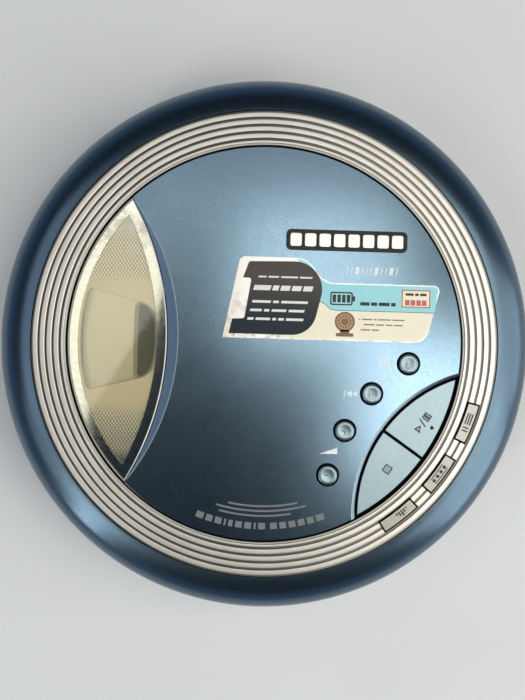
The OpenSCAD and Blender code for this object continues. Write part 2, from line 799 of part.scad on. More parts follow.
module lid_panel() {
  cut_r = control_r + 0.3;
  color(casing_color) difference() {
    rev([[0, 26.4], [47.2, 26.4], [47.2, 25.45], [panel_r, 25.45],
      [panel_r, panel_z - 0.15], [panel_r - 0.15, panel_z], [0, panel_z]]);
    post(window_c, window_arc_r + 0.1, [20, 30], $fn = 200);
    // scooped crescent beside the window
    translate([crescent_c.x, crescent_c.y, 26.5])
      cylinder(r1 = 53.0, r2 = 60.6, h = 2.1, $fn = 200);
    // control area and the bevel round it
    post(control_c, cut_r, [20, 30], $fn = 160);
    translate([control_c.x, control_c.y, 27.2])
      cylinder(r1 = cut_r, r2 = cut_r + 2, h = 1.0, $fn = 160);
    for (p = round_key_pts) post(p, round_hole_r, [20, 30]);
  }
}

module display_window() {
  color([0.9, 0.95, 0.95, 0.35]) window_inset(0.1, [26.85, 27.5]);
}

module display_bezel() {
  color([0.85, 0.84, 0.8]) difference() {
    window_inset(0.15, [26.2, 26.8]);
    aperture([26, 27]);
  }
}

module display_plate() {
  color([0.72, 0.68, 0.55]) difference() {
    window_inset(0.5, [25.85, 26.15]);
    intersection() {
      translate([0, 0, 25]) linear_extrude(height = 2)
        polygon([[-46.5, 13.6], [-26, 8.3], [-26, -8.3], [-46.5, -13.6]]);
      aperture([25, 28]);
    }
  }
}

module lcd_module() {
  color([0.75, 0.72, 0.6]) union() {
    box([-46.4, -25.2], [-15, 15], [23.9, 25.4]);
    box([-45.2, -26.4], [-13.4, 13.4], [25.4, 25.75]);
  }
}

module lid_board() {
  cut_z = [22, 24];
  color(board_color) difference() {
    intersection() {
      disc(56.6, lid_board_z);
      union() {
        box([-70, -14], [-30, 30], cut_z);
        box([-20, 20], [-22, 14], cut_z);
        rotate([0, 0, key_axis]) box([17, 70], [-36, 36], cut_z);
      }
    }
    post([0, 0], 6, cut_z);
  }
}

function wedge_c(side) = polar(43.4, key_axis + side * wedge_a);

module key_switch(at, turn) {
  translate([at.x, at.y, 0]) rotate([0, 0, turn]) {
    box([-2.2, 2.2], [-2.2, 2.2], [lid_board_z[1], 24.95]);
    disc(1.1, [24.9, 25.3]);
  }
}
module key_switches() {
  color([0.2, 0.2, 0.2]) {
    for (p = round_key_pts) key_switch(p, 0);
    for (s = [-1, 1]) key_switch(wedge_c(s), key_axis);
    for (a = bar_dirs) key_switch(polar((bar_r[0] + bar_r[1]) / 2, a), a);
  }
}

module lid_cover() {
  color([0.2, 0.21, 0.23]) difference() {
    union() {
      disc(62.2, [21.8, 22.8]);
      ring(55.5, 57, [22.7, 22.9]);
      // latch tongue
      box([-3, 3], [-62.2, -60.9], [14.4, 22.5]);
      // post over the lid switch
      rotate([0, 0, switch_a]) {
        box([62.1, 63.2], [-1.2, 1.2], [20.0, 22.0]);
        box([60, 63.2], [-1.2, 1.2], [21.8, 22.2]);
      }
    }
    // hook notch, hinge cut-out, recess over the hub, ring grooves, screw holes
    box([1.7, 4], [-63, -60], [15.5, 16.9]);
    box([-20.5, 20.5], [60.85, 70], [20, 25]);
    post([0, 0], 9.5, [21, 22.3]);
    for (r = [24, 40, 56]) ring(r - 0.35, r + 0.35, [21.6, 22.0]);
    for (p = lid_screw_pts) post(p, 1.0, [20, 24]);
  }
}

module lid_screws() {
  color("dimgray") for (p = lid_screw_pts) screw(p, 1.8, [21.05, 21.8], 0.8, [21.6, 25.6]);
}

// plate with rounded corners, centred on the origin
module rounded_plate(w, d, r, z) {
  x = w / 2 - r;
  y = d / 2 - r;
  union() {
    box([-x, x], [-d / 2, d / 2], z);
    box([-w / 2, w / 2], [-y, y], z);
    for (sx = [-1, 1]) for (sy = [-1, 1]) post([sx * x, sy * y], r, z);
  }
}
module badge_plate() {
  color(black) translate([19.8, 26.1, 0])
    rounded_plate(30.2, 5.2, 1.2, [panel_z, panel_z + 0.3]);
}

module product_label() {
  color([0.8, 0.85, 0.82]) translate([0, 0, panel_z]) linear_extrude(height = 0.12)
    polygon(concat(
      [[-10.4, 1.3], [37.2, 1.3]],
      arc([37.2, 5.0], 3.7, 3.7, -90, -20, 6),
      arc([41.8, 14.2], 1.4, 1.4, 0, 90, 5),
      arc([17.3, 21.22], 5.67, 5.67, 270, 208.1, 8),
      arc([7.3, 15.88], 5.67, 5.67, 28.1, 90, 8),
      [[-5.8, 21.6], [-6.8, 20.9]]));
}

// ---------- keys ----------
module round_key(i) {
  r = round_key_r;
  at = round_key_pts[i];
  color(casing_color) translate([at.x, at.y, 0]) rotate_extrude($fn = 64) polygon(concat(
    [[0, pad_z], [1.6, pad_z], [1.6, flange_z[0]], [3.3, flange_z[0]], [3.3, flange_z[1]],
      [r, flange_z[1]], [r, 27.9]],
    arc([r - 0.35, 27.9], 0.35, 0.35, 0, 80, 4),
    [[1.6, 28.3], [0.8, 28.22], [0, 28.2]]));
}
// half of the control area, side = +1 or -1 across key_axis
module wedge_key(side) {
  gap = 0.38;
  color([0.6, 0.7, 0.75]) {
    difference() {
      union() {
        control_shape(-0.3, 48.35, [26.2, 27.75]);
        control_shape(1.0, 46.9, flange_z);
      }
      rotate([0, 0, key_axis]) box([0, 70], side > 0 ? [-70, gap] : [-gap, 70], [20, 30]);
    }
    post(wedge_c(side), 1.9, [pad_z, 26.3]);
  }
}
module bar_key(i) {
  color([0.8, 0.79, 0.76]) {
    bar_sector(bar_dirs[i], 0.35, 0.38, [pad_z, 28.0]);
    bar_sector(bar_dirs[i], -0.5, -0.6, flange_z);
  }
}
module key_next() { round_key(0); }
module key_prev() { round_key(1); }
module key_vol_up() { round_key(2); }
module key_vol_down() { round_key(3); }
module key_play() { wedge_key(1); }
module key_stop() { wedge_key(-1); }
module key_bar_a() { bar_key(2); }
module key_bar_b() { bar_key(1); }
module key_bar_c() { bar_key(0); }

base_case();
rubber_feet();
battery_door();
aa_cells();
battery_contacts();
battery_springs();
disc_deck();
case_screws();
mech_chassis();
damper_grommets();
damper_screws();
spindle_motor();
spindle_shaft();
turntable_hub();
turntable_mat();
chuck_balls();
guide_rods();
pickup_sled();
actuator_magnets();
lens_holder();
objective_lens();
feed_gear();
feed_pinion();
feed_motor();
main_board();
board_chips();
board_capacitors();
board_screws();
pickup_flex();
headphone_jack();
dc_jack();
dc_jack_pin();
lid_switch();
hold_knob();
open_slider();
latch_spring();
hinge_pins();
hinge_spring();
lid_shell();
trim_ring();
lid_panel();
display_window();
display_bezel();
display_plate();
lcd_module();
lid_board();
key_switches();
lid_cover();
lid_screws();
badge_plate();
product_label();
key_next();
key_prev();
key_vol_up();
key_vol_down();
key_play();
key_stop();
key_bar_a();
key_bar_b();
key_bar_c();
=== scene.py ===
import math

import bmesh
import bpy
from mathutils import Matrix, Vector


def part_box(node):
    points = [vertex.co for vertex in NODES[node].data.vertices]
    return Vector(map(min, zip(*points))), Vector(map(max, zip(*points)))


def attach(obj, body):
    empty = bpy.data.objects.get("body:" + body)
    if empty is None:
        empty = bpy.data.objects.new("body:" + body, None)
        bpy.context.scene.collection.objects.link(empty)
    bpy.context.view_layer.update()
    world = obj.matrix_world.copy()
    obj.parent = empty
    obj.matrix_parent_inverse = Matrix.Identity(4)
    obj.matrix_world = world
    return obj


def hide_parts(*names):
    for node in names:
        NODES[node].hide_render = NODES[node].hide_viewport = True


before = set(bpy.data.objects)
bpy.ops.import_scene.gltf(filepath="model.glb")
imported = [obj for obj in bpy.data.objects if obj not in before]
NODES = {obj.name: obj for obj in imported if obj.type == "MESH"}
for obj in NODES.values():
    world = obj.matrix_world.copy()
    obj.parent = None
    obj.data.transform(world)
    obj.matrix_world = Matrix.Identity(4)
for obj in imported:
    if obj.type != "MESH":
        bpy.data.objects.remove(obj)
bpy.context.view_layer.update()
MM = 0.001
SCENE = bpy.context.scene

# ---------------------------------------------------------------- numbers shared with the CAD part
PANEL_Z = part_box("lid_panel")[1].z / MM
KEY_AXIS = -34.4
BAR_AXIS = -34.95
BAR_STEP = 15.35
KC = (72.26 * math.cos(math.radians(KEY_AXIS)), 72.26 * math.sin(math.radians(KEY_AXIS)))
KR = 35.54
ROUND = {"key_next": (36.25, 28.15), "key_prev": (29.48, 11.1), "key_vol_up": (29.48, -11.1), "key_vol_down": (36.25, -28.15)}
WC = (-93.8, 0.0)
WR = 69.68


def polar(r, a):
    return (r * math.cos(math.radians(a)), r * math.sin(math.radians(a)))


def key_pos(k):
    r, a = ROUND[k]
    return polar(r, KEY_AXIS + a)


# ---------------------------------------------------------------- node materials
class Mat:
    """A small builder for node materials. Coordinates are the object's own, in millimetres."""

    def __init__(self, name):
        self.m = bpy.data.materials.new(name)
        self.m.use_nodes = True
        self.t = self.m.node_tree
        self.bsdf = self.t.nodes["Principled BSDF"]
        self.out = self.t.nodes["Material Output"]
        tc = self.t.nodes.new("ShaderNodeTexCoord")
        mp = self.t.nodes.new("ShaderNodeVectorMath")
        mp.operation = "SCALE"
        mp.inputs["Scale"].default_value = 1000.0
        self.t.links.new(tc.outputs["Object"], mp.inputs[0])
        self.co = mp.outputs[0]

    def node(self, kind, **kw):
        n = self.t.nodes.new(kind)
        for k, v in kw.items():
            if hasattr(n, k):
                setattr(n, k, v)
            else:
                raise KeyError(k)
        return n

    def put(self, sock, v):
        if isinstance(v, bpy.types.NodeSocket):
            self.t.links.new(v, sock)
        elif isinstance(v, (tuple, list)) and sock.type == "RGBA" and len(v) == 3:
            sock.default_value = (*v, 1.0)
        else:
            sock.default_value = v

    def noise(self, scale, detail=3.0, rough=0.5, co=None, dist=0.0, dims="3D"):
        n = self.node("ShaderNodeTexNoise", noise_dimensions=dims)
        self.put(n.inputs["Vector"], co or self.co)
        n.inputs["Scale"].default_value = scale
        n.inputs["Detail"].default_value = detail
        n.inputs["Roughness"].default_value = rough
        n.inputs["Distortion"].default_value = dist
        return n.outputs["Fac"]

    def voronoi(self, scale, feature="F1", co=None, out="Distance", rand=1.0):
        n = self.node("ShaderNodeTexVoronoi", feature=feature)
        self.put(n.inputs["Vector"], co or self.co)
        n.inputs["Scale"].default_value = scale
        n.inputs["Randomness"].default_value = rand
        return n.outputs[out]

    def math(self, op, a, b=0.0, c=None, clamp=False):
        n = self.node("ShaderNodeMath", operation=op, use_clamp=clamp)
        self.put(n.inputs[0], a)
        self.put(n.inputs[1], b)
        if c is not None:
            self.put(n.inputs[2], c)
        return n.outputs[0]

    def range(self, v, a, b, c, d, smooth=False):
        n = self.node("ShaderNodeMapRange", interpolation_type="SMOOTHSTEP" if smooth else "LINEAR")
        self.put(n.inputs["Value"], v)
        for k, x in zip(("From Min", "From Max", "To Min", "To Max"), (a, b, c, d)):
            self.put(n.inputs[k], x)
        return n.outputs["Result"]

    def mix(self, fac, a, b, blend="MIX"):
        n = self.node("ShaderNodeMix", data_type="RGBA", blend_type=blend)
        self.put(n.inputs[0], fac)
        self.put(n.inputs[6], a)
        self.put(n.inputs[7], b)
        return n.outputs[2]

    def xyz(self, v=None):
        n = self.node("ShaderNodeSeparateXYZ")
        self.put(n.inputs[0], v or self.co)
        return n.outputs

    def comb(self, x, y, z):
        n = self.node("ShaderNodeCombineXYZ")
        for i, v in enumerate((x, y, z)):
            self.put(n.inputs[i], v)
        return n.outputs[0]

    def bump(self, height, strength=0.3, dist=0.02, normal=None):
        n = self.node("ShaderNodeBump")
        self.put(n.inputs["Height"], height)
        n.inputs["Strength"].default_value = strength
        n.inputs["Distance"].default_value = dist * MM
        if normal is not None:
            self.put(n.inputs["Normal"], normal)
        return n.outputs[0]

    def nz(self):
        """Absolute z of the object-space normal: 1 on flat tops, 0 on upright walls."""
        tc = self.node("ShaderNodeTexCoord")
        x = self.xyz(tc.outputs["Normal"])
        return self.math("ABSOLUTE", x[2])

    def wall(self, z=None):
        """1 on upright walls (and, given z in mm, on everything below it)."""
        w = self.range(self.nz(), 0.35, 0.6, 1.0, 0.0, True)
        if z is not None:
            low = self.range(self.xyz()[2], z - 0.03, z + 0.03, 1.0, 0.0, True)
            w = self.math("MAXIMUM", w, low)
        return w

    def round(self, radius, samples=4):
        n = self.node("ShaderNodeBevel", samples=samples)
        n.inputs["Radius"].default_value = radius * MM
        return n.outputs[0]

    def set(self, **kw):
        names = {"base": "Base Color", "metal": "Metallic", "rough": "Roughness", "normal": "Normal", "coat": "Coat Weight",
                 "coat_rough": "Coat Roughness", "alpha": "Alpha", "spec": "Specular IOR Level", "aniso": "Anisotropic",
                 "trans": "Transmission Weight", "ior": "IOR", "emit": "Emission Color", "emit_s": "Emission Strength", "sheen": "Sheen Weight"}
        for k, v in kw.items():
            self.put(self.bsdf.inputs[names[k]], v)
        return self


def metallic_paint(name, dark, light, rough=0.27, metal=0.95, coat=0.1, shadow=None, highlight_line=None):
    """Painted plastic with fine metal flakes under a thin satin coat.
    shadow(m) gives a mask turned near-black and dull: unpainted plastic inside, and painted shade on gap walls and key
    rims. The light-line mask is painted highlight, lighter and rougher."""
    m = Mat(name)
    flake = m.voronoi(7.0, out="Color")
    f = m.xyz(flake)
    grain = m.noise(2.2, 4.0, 0.6)
    cloud = m.noise(0.03, 2.0, 0.5)
    c = m.mix(m.range(f[0], 0.0, 1.0, 0.25, 0.75), dark, light)
    c = m.mix(m.range(cloud, 0.35, 0.65, 0.0, 0.12), c, tuple(x * 0.82 for x in light))
    rubbed = m.range(m.noise(0.11, 5.0, 0.65, dist=0.6), 0.48, 0.72, 0.0, 1.0, True)
    r = m.math("ADD", m.range(grain, 0.3, 0.7, rough - 0.02, rough + 0.025), m.math("MULTIPLY", rubbed, -0.014))
    h = m.math("ADD", m.math("MULTIPLY", f[1], 0.6), m.math("MULTIPLY", grain, 0.4))
    n = m.bump(h, 0.1, 0.02, m.round(0.12))
    rg = r
    # painted highlight: a lighter, rougher line over the paint
    if highlight_line:
        k = highlight_line(m)
        c = m.mix(k, c, (0.30, 0.37, 0.41))
        rg = m.math("ADD", rg, m.math("MULTIPLY", k, 0.25))
    # painted shade and unpainted plastic: the masked faces go near black with little gloss
    if shadow:
        k = shadow(m)
        c = m.mix(k, c, (0.004, 0.004, 0.005))
        metal = m.math("MULTIPLY", m.math("SUBTRACT", 1.0, k), metal)
        coat = m.math("MULTIPLY", m.math("SUBTRACT", 1.0, k), coat)
        rg = m.math("ADD", rg, m.math("MULTIPLY", k, 0.3))
        m.put(m.bsdf.inputs["Specular IOR Level"], m.math("SUBTRACT", 0.5, m.math("MULTIPLY", k, 0.42)))
    m.set(base=c, metal=metal, rough=rg, normal=n, coat=coat, coat_rough=0.18)
    return m.m


def satin_metal(name, base, rough=0.3, metal=1.0, grain=1.6, var=0.06, aniso=0.0):
    """Plated plastic or plain sheet, with a soft cast grain and slight stains."""
    m = Mat(name)
    g = m.noise(grain, 5.0, 0.6)
    cl = m.noise(0.07, 3.0, 0.5)
    c = m.mix(m.range(cl, 0.35, 0.7, 0.0, 1.0), base, tuple(x * (1 - 2 * var) for x in base))
    c = m.mix(m.range(g, 0.4, 0.75, 0.0, 0.5), c, tuple(x * (1 - var) for x in base))
    n = m.bump(g, 0.12, 0.015, m.round(0.1))
    m.set(base=c, metal=metal, rough=m.range(g, 0.25, 0.75, rough - 0.05, rough + 0.06), normal=n, aniso=aniso)
    return m.m


def brushed(name, base, rough=0.28, axis=0, freq=9.0):
    """Drawn or ground metal, with fine lines along one axis."""
    m = Mat(name)
    x = m.xyz()
    co = [m.math("MULTIPLY", x[i], 0.25 if i == axis else freq) for i in range(3)]
    line = m.noise(1.0, 3.0, 0.6, co=m.comb(*co))
    stain = m.noise(0.12, 3.0, 0.5)
    c = m.mix(m.range(line, 0.3, 0.7, 0.0, 1.0), tuple(v * 0.86 for v in base), base)
    c = m.mix(m.range(stain, 0.5, 0.8, 0.0, 0.35), c, tuple(v * 0.7 for v in base))
    m.set(base=c, metal=1.0, rough=m.range(line, 0.3, 0.7, rough - 0.07, rough + 0.08), normal=m.bump(line, 0.14, 0.01, m.round(0.06)))
    return m.m


def moulded(name, base, rough=0.45, tex=5.0, depth=0.03, strength=0.35, spec=0.5, var=0.12):
    """Moulded plastic with a fine spark-eroded texture."""
    m = Mat(name)
    v = m.voronoi(tex, "SMOOTH_F1")
    g = m.noise(tex * 0.6, 4.0, 0.6)
    cl = m.noise(0.06, 3.0, 0.5)
    h = m.math("ADD", m.math("MULTIPLY", v, 0.6), m.math("MULTIPLY", g, 0.5))
    c = m.mix(m.range(cl, 0.35, 0.7, 0.0, 1.0), base, tuple(x * (1 - var) for x in base))
    c = m.mix(m.range(g, 0.45, 0.8, 0.0, 0.25), c, tuple(min(1, x * 1.25 + 0.01) for x in base))
    m.set(base=c, rough=m.range(g, 0.3, 0.7, rough - 0.06, rough + 0.06), normal=m.bump(h, strength, depth, m.round(0.1)), spec=spec)
    return m.m


def rubber(name, base):
    m = Mat(name)
    g = m.noise(4.0, 6.0, 0.7)
    d = m.noise(0.5, 4.0, 0.6)
    c = m.mix(m.range(d, 0.45, 0.75, 0.0, 0.5), base, tuple(x * 1.9 + 0.015 for x in base))
    m.set(base=c, rough=m.range(g, 0.3, 0.7, 0.7, 0.88), normal=m.bump(g, 0.4, 0.03), spec=0.35)
    return m.m


def printed(name, base, rough=0.42, var=0.05, metal=0.0, spec=0.5):
    """Ink or film: nearly even, with faint mottling and pinholes."""
    m = Mat(name)
    g = m.noise(6.0, 4.0, 0.65)
    cl = m.noise(0.4, 3.0, 0.5)
    c = m.mix(m.range(g, 0.5, 0.85, 0.0, 0.5), base, tuple(x * (1 - 3 * var) for x in base))
    c = m.mix(m.range(cl, 0.4, 0.7, 0.0, 1.0), c, tuple(min(1.0, x * (1 + var)) for x in base))
    m.set(base=c, rough=m.range(g, 0.3, 0.7, rough - 0.04, rough + 0.05), normal=m.bump(g, 0.08, 0.006), metal=metal, spec=spec)
    return m.m


MATS = {}
PAINT_A, PAINT_B = (0.066, 0.108, 0.145), (0.120, 0.178, 0.230)
MATS["paint_lid"] = metallic_paint("paint_lid", PAINT_A, PAINT_B)


def crest(m):
    """Painted highlight mask: 1 on the crest where the scoop beside the window meets the flat face, and on lines round
    the control area.
    """
    x = m.xyz()

    def near(cx, cy, r, w):
        dx = m.math("SUBTRACT", x[0], cx)
        dy = m.math("SUBTRACT", x[1], cy)
        d = m.math("SQRT", m.math("ADD", m.math("MULTIPLY", dx, dx), m.math("MULTIPLY", dy, dy)))
        return m.range(m.math("ABSOLUTE", m.math("SUBTRACT", d, r)), w * 0.5, w, 1.0, 0.0, True)

    return m.math("MAXIMUM", near(-78.4, 0.0, 56.98, 0.14), m.math("MAXIMUM", m.math("MULTIPLY", near(KC[0], KC[1], KR + 1.1, 0.11), 0.8), m.math("MULTIPLY", near(KC[0], KC[1], KR + 0.78, 0.4), 0.30)))


# painted highlight along the crest and round the control area; painted shade: the panel's upright walls go near black
MATS["paint_panel"] = metallic_paint("paint_panel", PAINT_A, PAINT_B, rough=0.17, shadow=lambda m: m.wall(), highlight_line=crest)
# painted shade: the shell inside 58 mm radius, under the ring and panel, goes near black
MATS["paint_shell"] = metallic_paint("paint_shell", PAINT_A, PAINT_B, rough=0.25,
                                      shadow=lambda m: m.math("LESS_THAN", m.math("ADD", m.math("MULTIPLY", m.xyz()[0], m.xyz()[0]), m.math("MULTIPLY", m.xyz()[1], m.xyz()[1])), 58.0 ** 2))


def inside_case(m):
    """1 inside the casing, where the spray never reached: within the wall and above the floor plate."""
    x = m.xyz()
    r = m.math("SQRT", m.math("ADD", m.math("MULTIPLY", x[0], x[0]), m.math("MULTIPLY", x[1], x[1])))
    return m.math("MULTIPLY", m.range(r, 65.0, 65.2, 1.0, 0.0, True), m.range(x[2], 1.0, 1.3, 0.0, 1.0, True))


MATS["paint_base"] = metallic_paint("paint_base", (0.062, 0.105, 0.140), (0.115, 0.174, 0.220), rough=0.34, metal=0.85, shadow=inside_case)
MATS["paint_door"] = metallic_paint("paint_door", (0.062, 0.105, 0.140), (0.115, 0.174, 0.220), rough=0.34, metal=0.85, shadow=lambda m: m.range(m.xyz()[2], 1.35, 1.55, 0.0, 1.0, True))
# painted shade: the round keys go near black below about z 28.0, thickening the dark ring round each key
MATS["paint_key"] = metallic_paint("paint_key", (0.145, 0.20, 0.225), (0.235, 0.305, 0.335), rough=0.3, metal=0.85, shadow=lambda m: m.range(m.xyz()[2], 27.97, 28.10, 1.0, 0.0, True))
# painted shade: the walls of the play and stop keys, and all below z 27.55, go near black
MATS["paint_light"] = metallic_paint("paint_light", (0.205, 0.285, 0.315), (0.325, 0.42, 0.455), rough=0.38, metal=0.75, shadow=lambda m: m.wall(27.55))
MATS["paint_dot"] = metallic_paint("paint_dot", (0.11, 0.15, 0.17), (0.19, 0.245, 0.27), rough=0.3)


def ring_mat():
    """Silver paint, bright on the ridges, with painted shade darkening the grooves and turning the key holes and inner
    wall near black.
    """
    m = Mat("silver_ring")
    x = m.xyz()
    g = m.noise(1.8, 5.0, 0.6)
    cl = m.noise(0.06, 3.0, 0.5)
    c = m.mix(m.range(cl, 0.35, 0.7, 0.0, 1.0), (0.63, 0.60, 0.54), (0.575, 0.545, 0.49))
    # painted shade: darker below the ridge tops, less so on the inner lip
    groove_shade = m.range(x[2], 27.44, 27.76, 1.0, 0.0, True)
    lip = m.math("LESS_THAN", m.math("SQRT", m.math("ADD", m.math("MULTIPLY", x[0], x[0]), m.math("MULTIPLY", x[1], x[1]))), 49.95)
    groove_shade = m.math("MULTIPLY", groove_shade, m.math("SUBTRACT", 1.0, m.math("MULTIPLY", lip, 0.55)))
    # painted shade in the grooves, weaker towards the right, where the light falls
    c = m.mix(m.math("MULTIPLY", groove_shade, m.range(x[0], -10.0, 46.0, 0.86, 0.35, True)), c, (0.05, 0.043, 0.037))
    rad = m.math("SQRT", m.math("ADD", m.math("MULTIPLY", x[0], x[0]), m.math("MULTIPLY", x[1], x[1])))
    ang = m.math("MULTIPLY", m.math("ARCTAN2", x[1], x[0]), 180 / math.pi)
    hole_shade = None
    for k in (-1, 0, 1):
        da = m.math("ABSOLUTE", m.math("SUBTRACT", ang, BAR_AXIS + k * BAR_STEP))
        dr = m.math("ABSOLUTE", m.math("SUBTRACT", rad, 54.2))
        h = m.math("MULTIPLY", m.math("LESS_THAN", da, 5.44), m.math("LESS_THAN", dr, 1.69))
        hole_shade = h if hole_shade is None else m.math("MAXIMUM", hole_shade, h)
    inner = m.math("LESS_THAN", rad, 49.42)
    # painted shade: the key holes and the inner wall go near black and dull
    k = m.math("MAXIMUM", hole_shade, inner)
    c = m.mix(k, c, (0.004, 0.004, 0.004))
    metal = m.math("MULTIPLY", m.math("SUBTRACT", 1.0, k), 0.86)
    n = m.bump(g, 0.07, 0.012)
    rg = m.math("ADD", m.range(g, 0.25, 0.75, 0.33, 0.39), m.math("MULTIPLY", m.math("MAXIMUM", groove_shade, k), 0.3))
    m.set(base=c, metal=metal, rough=rg, normal=n, spec=m.math("SUBTRACT", 0.5, m.math("MULTIPLY", k, 0.42)))
    return m.m


def silver_key_mat():
    m = Mat("silver_key")
    g = m.noise(2.5, 4.0, 0.6)
    c = m.mix(m.range(g, 0.35, 0.75, 0.0, 1.0), (0.34, 0.327, 0.293), (0.31, 0.297, 0.268))
    # painted shade: the bar keys' walls and all below z 27.62 go near black and dull
    k = m.wall(27.62)
    c = m.mix(k, c, (0.004, 0.004, 0.004))
    m.set(base=c, metal=m.math("MULTIPLY", m.math("SUBTRACT", 1.0, k), 0.85), rough=m.range(g, 0.3, 0.7, 0.34, 0.4), normal=m.bump(g, 0.04, 0.006, m.round(0.06)),
          spec=m.math("SUBTRACT", 0.5, m.math("MULTIPLY", k, 0.42)))
    return m.m


MATS["silver"] = ring_mat()
MATS["silver_key"] = silver_key_mat()
MATS["silver_part"] = satin_metal("silver_part", (0.52, 0.50, 0.47), rough=0.3)
MATS["chrome"] = brushed("chrome", (0.72, 0.72, 0.73), rough=0.16, axis=2)
MATS["steel"] = brushed("steel", (0.6, 0.6, 0.6), rough=0.32, axis=0)
MATS["screw_black"] = satin_metal("screw_black", (0.07, 0.07, 0.075), rough=0.38, metal=0.9)
MATS["alu"] = brushed("alu", (0.68, 0.69, 0.7), rough=0.3, axis=1)
MATS["brass"] = brushed("brass", (0.75, 0.55, 0.22), rough=0.25, axis=2)
MATS["magnet"] = satin_metal("magnet", (0.35, 0.36, 0.38), rough=0.22)
MATS["black"] = moulded("black", (0.022, 0.022, 0.025), rough=0.42)
MATS["deck"] = moulded("deck", (0.052, 0.056, 0.064), rough=0.5, tex=3.2, depth=0.05, strength=0.5)
MATS["white"] = moulded("white", (0.72, 0.71, 0.66), rough=0.38, tex=7.0, depth=0.01, strength=0.2, var=0.05)
MATS["rubber"] = rubber("rubber", (0.022, 0.022, 0.023))
MATS["badge_black"] = moulded("badge_black", (0.010, 0.009, 0.008), rough=0.3, tex=9.0, depth=0.006, strength=0.15, spec=0.2)


def board_mat():
    m = Mat("board_green")
    x = m.xyz()
    # tracks: rectangular cells from stepped noise, slightly lighter under the mask
    cell = m.voronoi(0.75, "F1", out="Color", rand=0.9)
    t1 = m.math("PINGPONG", m.math("ADD", x[0], m.math("MULTIPLY", m.math("SNAP", m.noise(0.12, 0.0), 0.25), 9.0)), 0.55)
    t2 = m.math("PINGPONG", m.math("ADD", x[1], m.math("MULTIPLY", m.math("SNAP", m.noise(0.1, 0.0), 0.25), 11.0)), 0.55)
    pick = m.math("GREATER_THAN", m.xyz(cell)[0], 0.5)
    t = m.math("ADD", m.math("MULTIPLY", t1, pick), m.math("MULTIPLY", t2, m.math("SUBTRACT", 1.0, pick)))
    track = m.math("GREATER_THAN", t, 0.32)
    c = m.mix(track, (0.012, 0.075, 0.04), (0.03, 0.15, 0.075))
    pad = m.math("LESS_THAN", m.voronoi(0.42), 0.32)
    c = m.mix(pad, c, (0.55, 0.56, 0.55))
    m.set(base=c, rough=m.range(pad, 0, 1, 0.3, 0.25), metal=m.math("MULTIPLY", pad, 0.9), normal=m.bump(m.math("ADD", track, pad), 0.5, 0.03), coat=0.3, coat_rough=0.15)
    return m.m


def ribbon_mat():
    m = Mat("ribbon")
    x = m.xyz()
    line = m.math("GREATER_THAN", m.math("PINGPONG", x[0], 0.3), 0.15)
    c = m.mix(line, (0.45, 0.2, 0.03), (0.72, 0.42, 0.12))
    m.set(base=c, rough=0.3, metal=m.math("MULTIPLY", line, 0.35), normal=m.bump(line, 0.4, 0.02), coat=0.4, coat_rough=0.1)
    return m.m


def cell_mat():
    """Generic cell wrap: dark body, copper band at the + end, steel ends."""
    m = Mat("cell_wrap")
    x = m.xyz()
    left = m.math("LESS_THAN", x[0], -37.3)
    # + end is at +Y for the left cell and at -Y for the right one
    y = m.math("MULTIPLY", x[1], m.math("SUBTRACT", m.math("MULTIPLY", left, 2.0), 1.0))
    band = m.math("GREATER_THAN", y, 9.0)
    cap = m.math("GREATER_THAN", m.math("ABSOLUTE", y), 23.6)
    c = m.mix(band, (0.02, 0.021, 0.025), (0.62, 0.33, 0.12))
    c = m.mix(cap, c, (0.6, 0.6, 0.6))
    line = m.math("LESS_THAN", m.math("ABSOLUTE", m.math("SUBTRACT", y, 9.0)), 0.35)
    c = m.mix(line, c, (0.75, 0.75, 0.74))
    g = m.noise(1.2, 3.0)
    m.set(base=c, metal=m.math("ADD", 0.25, m.math("MULTIPLY", m.math("MAXIMUM", band, cap), 0.7), clamp=True), rough=m.range(g, 0.3, 0.7, 0.22, 0.3), normal=m.bump(g, 0.06, 0.02))
    return m.m


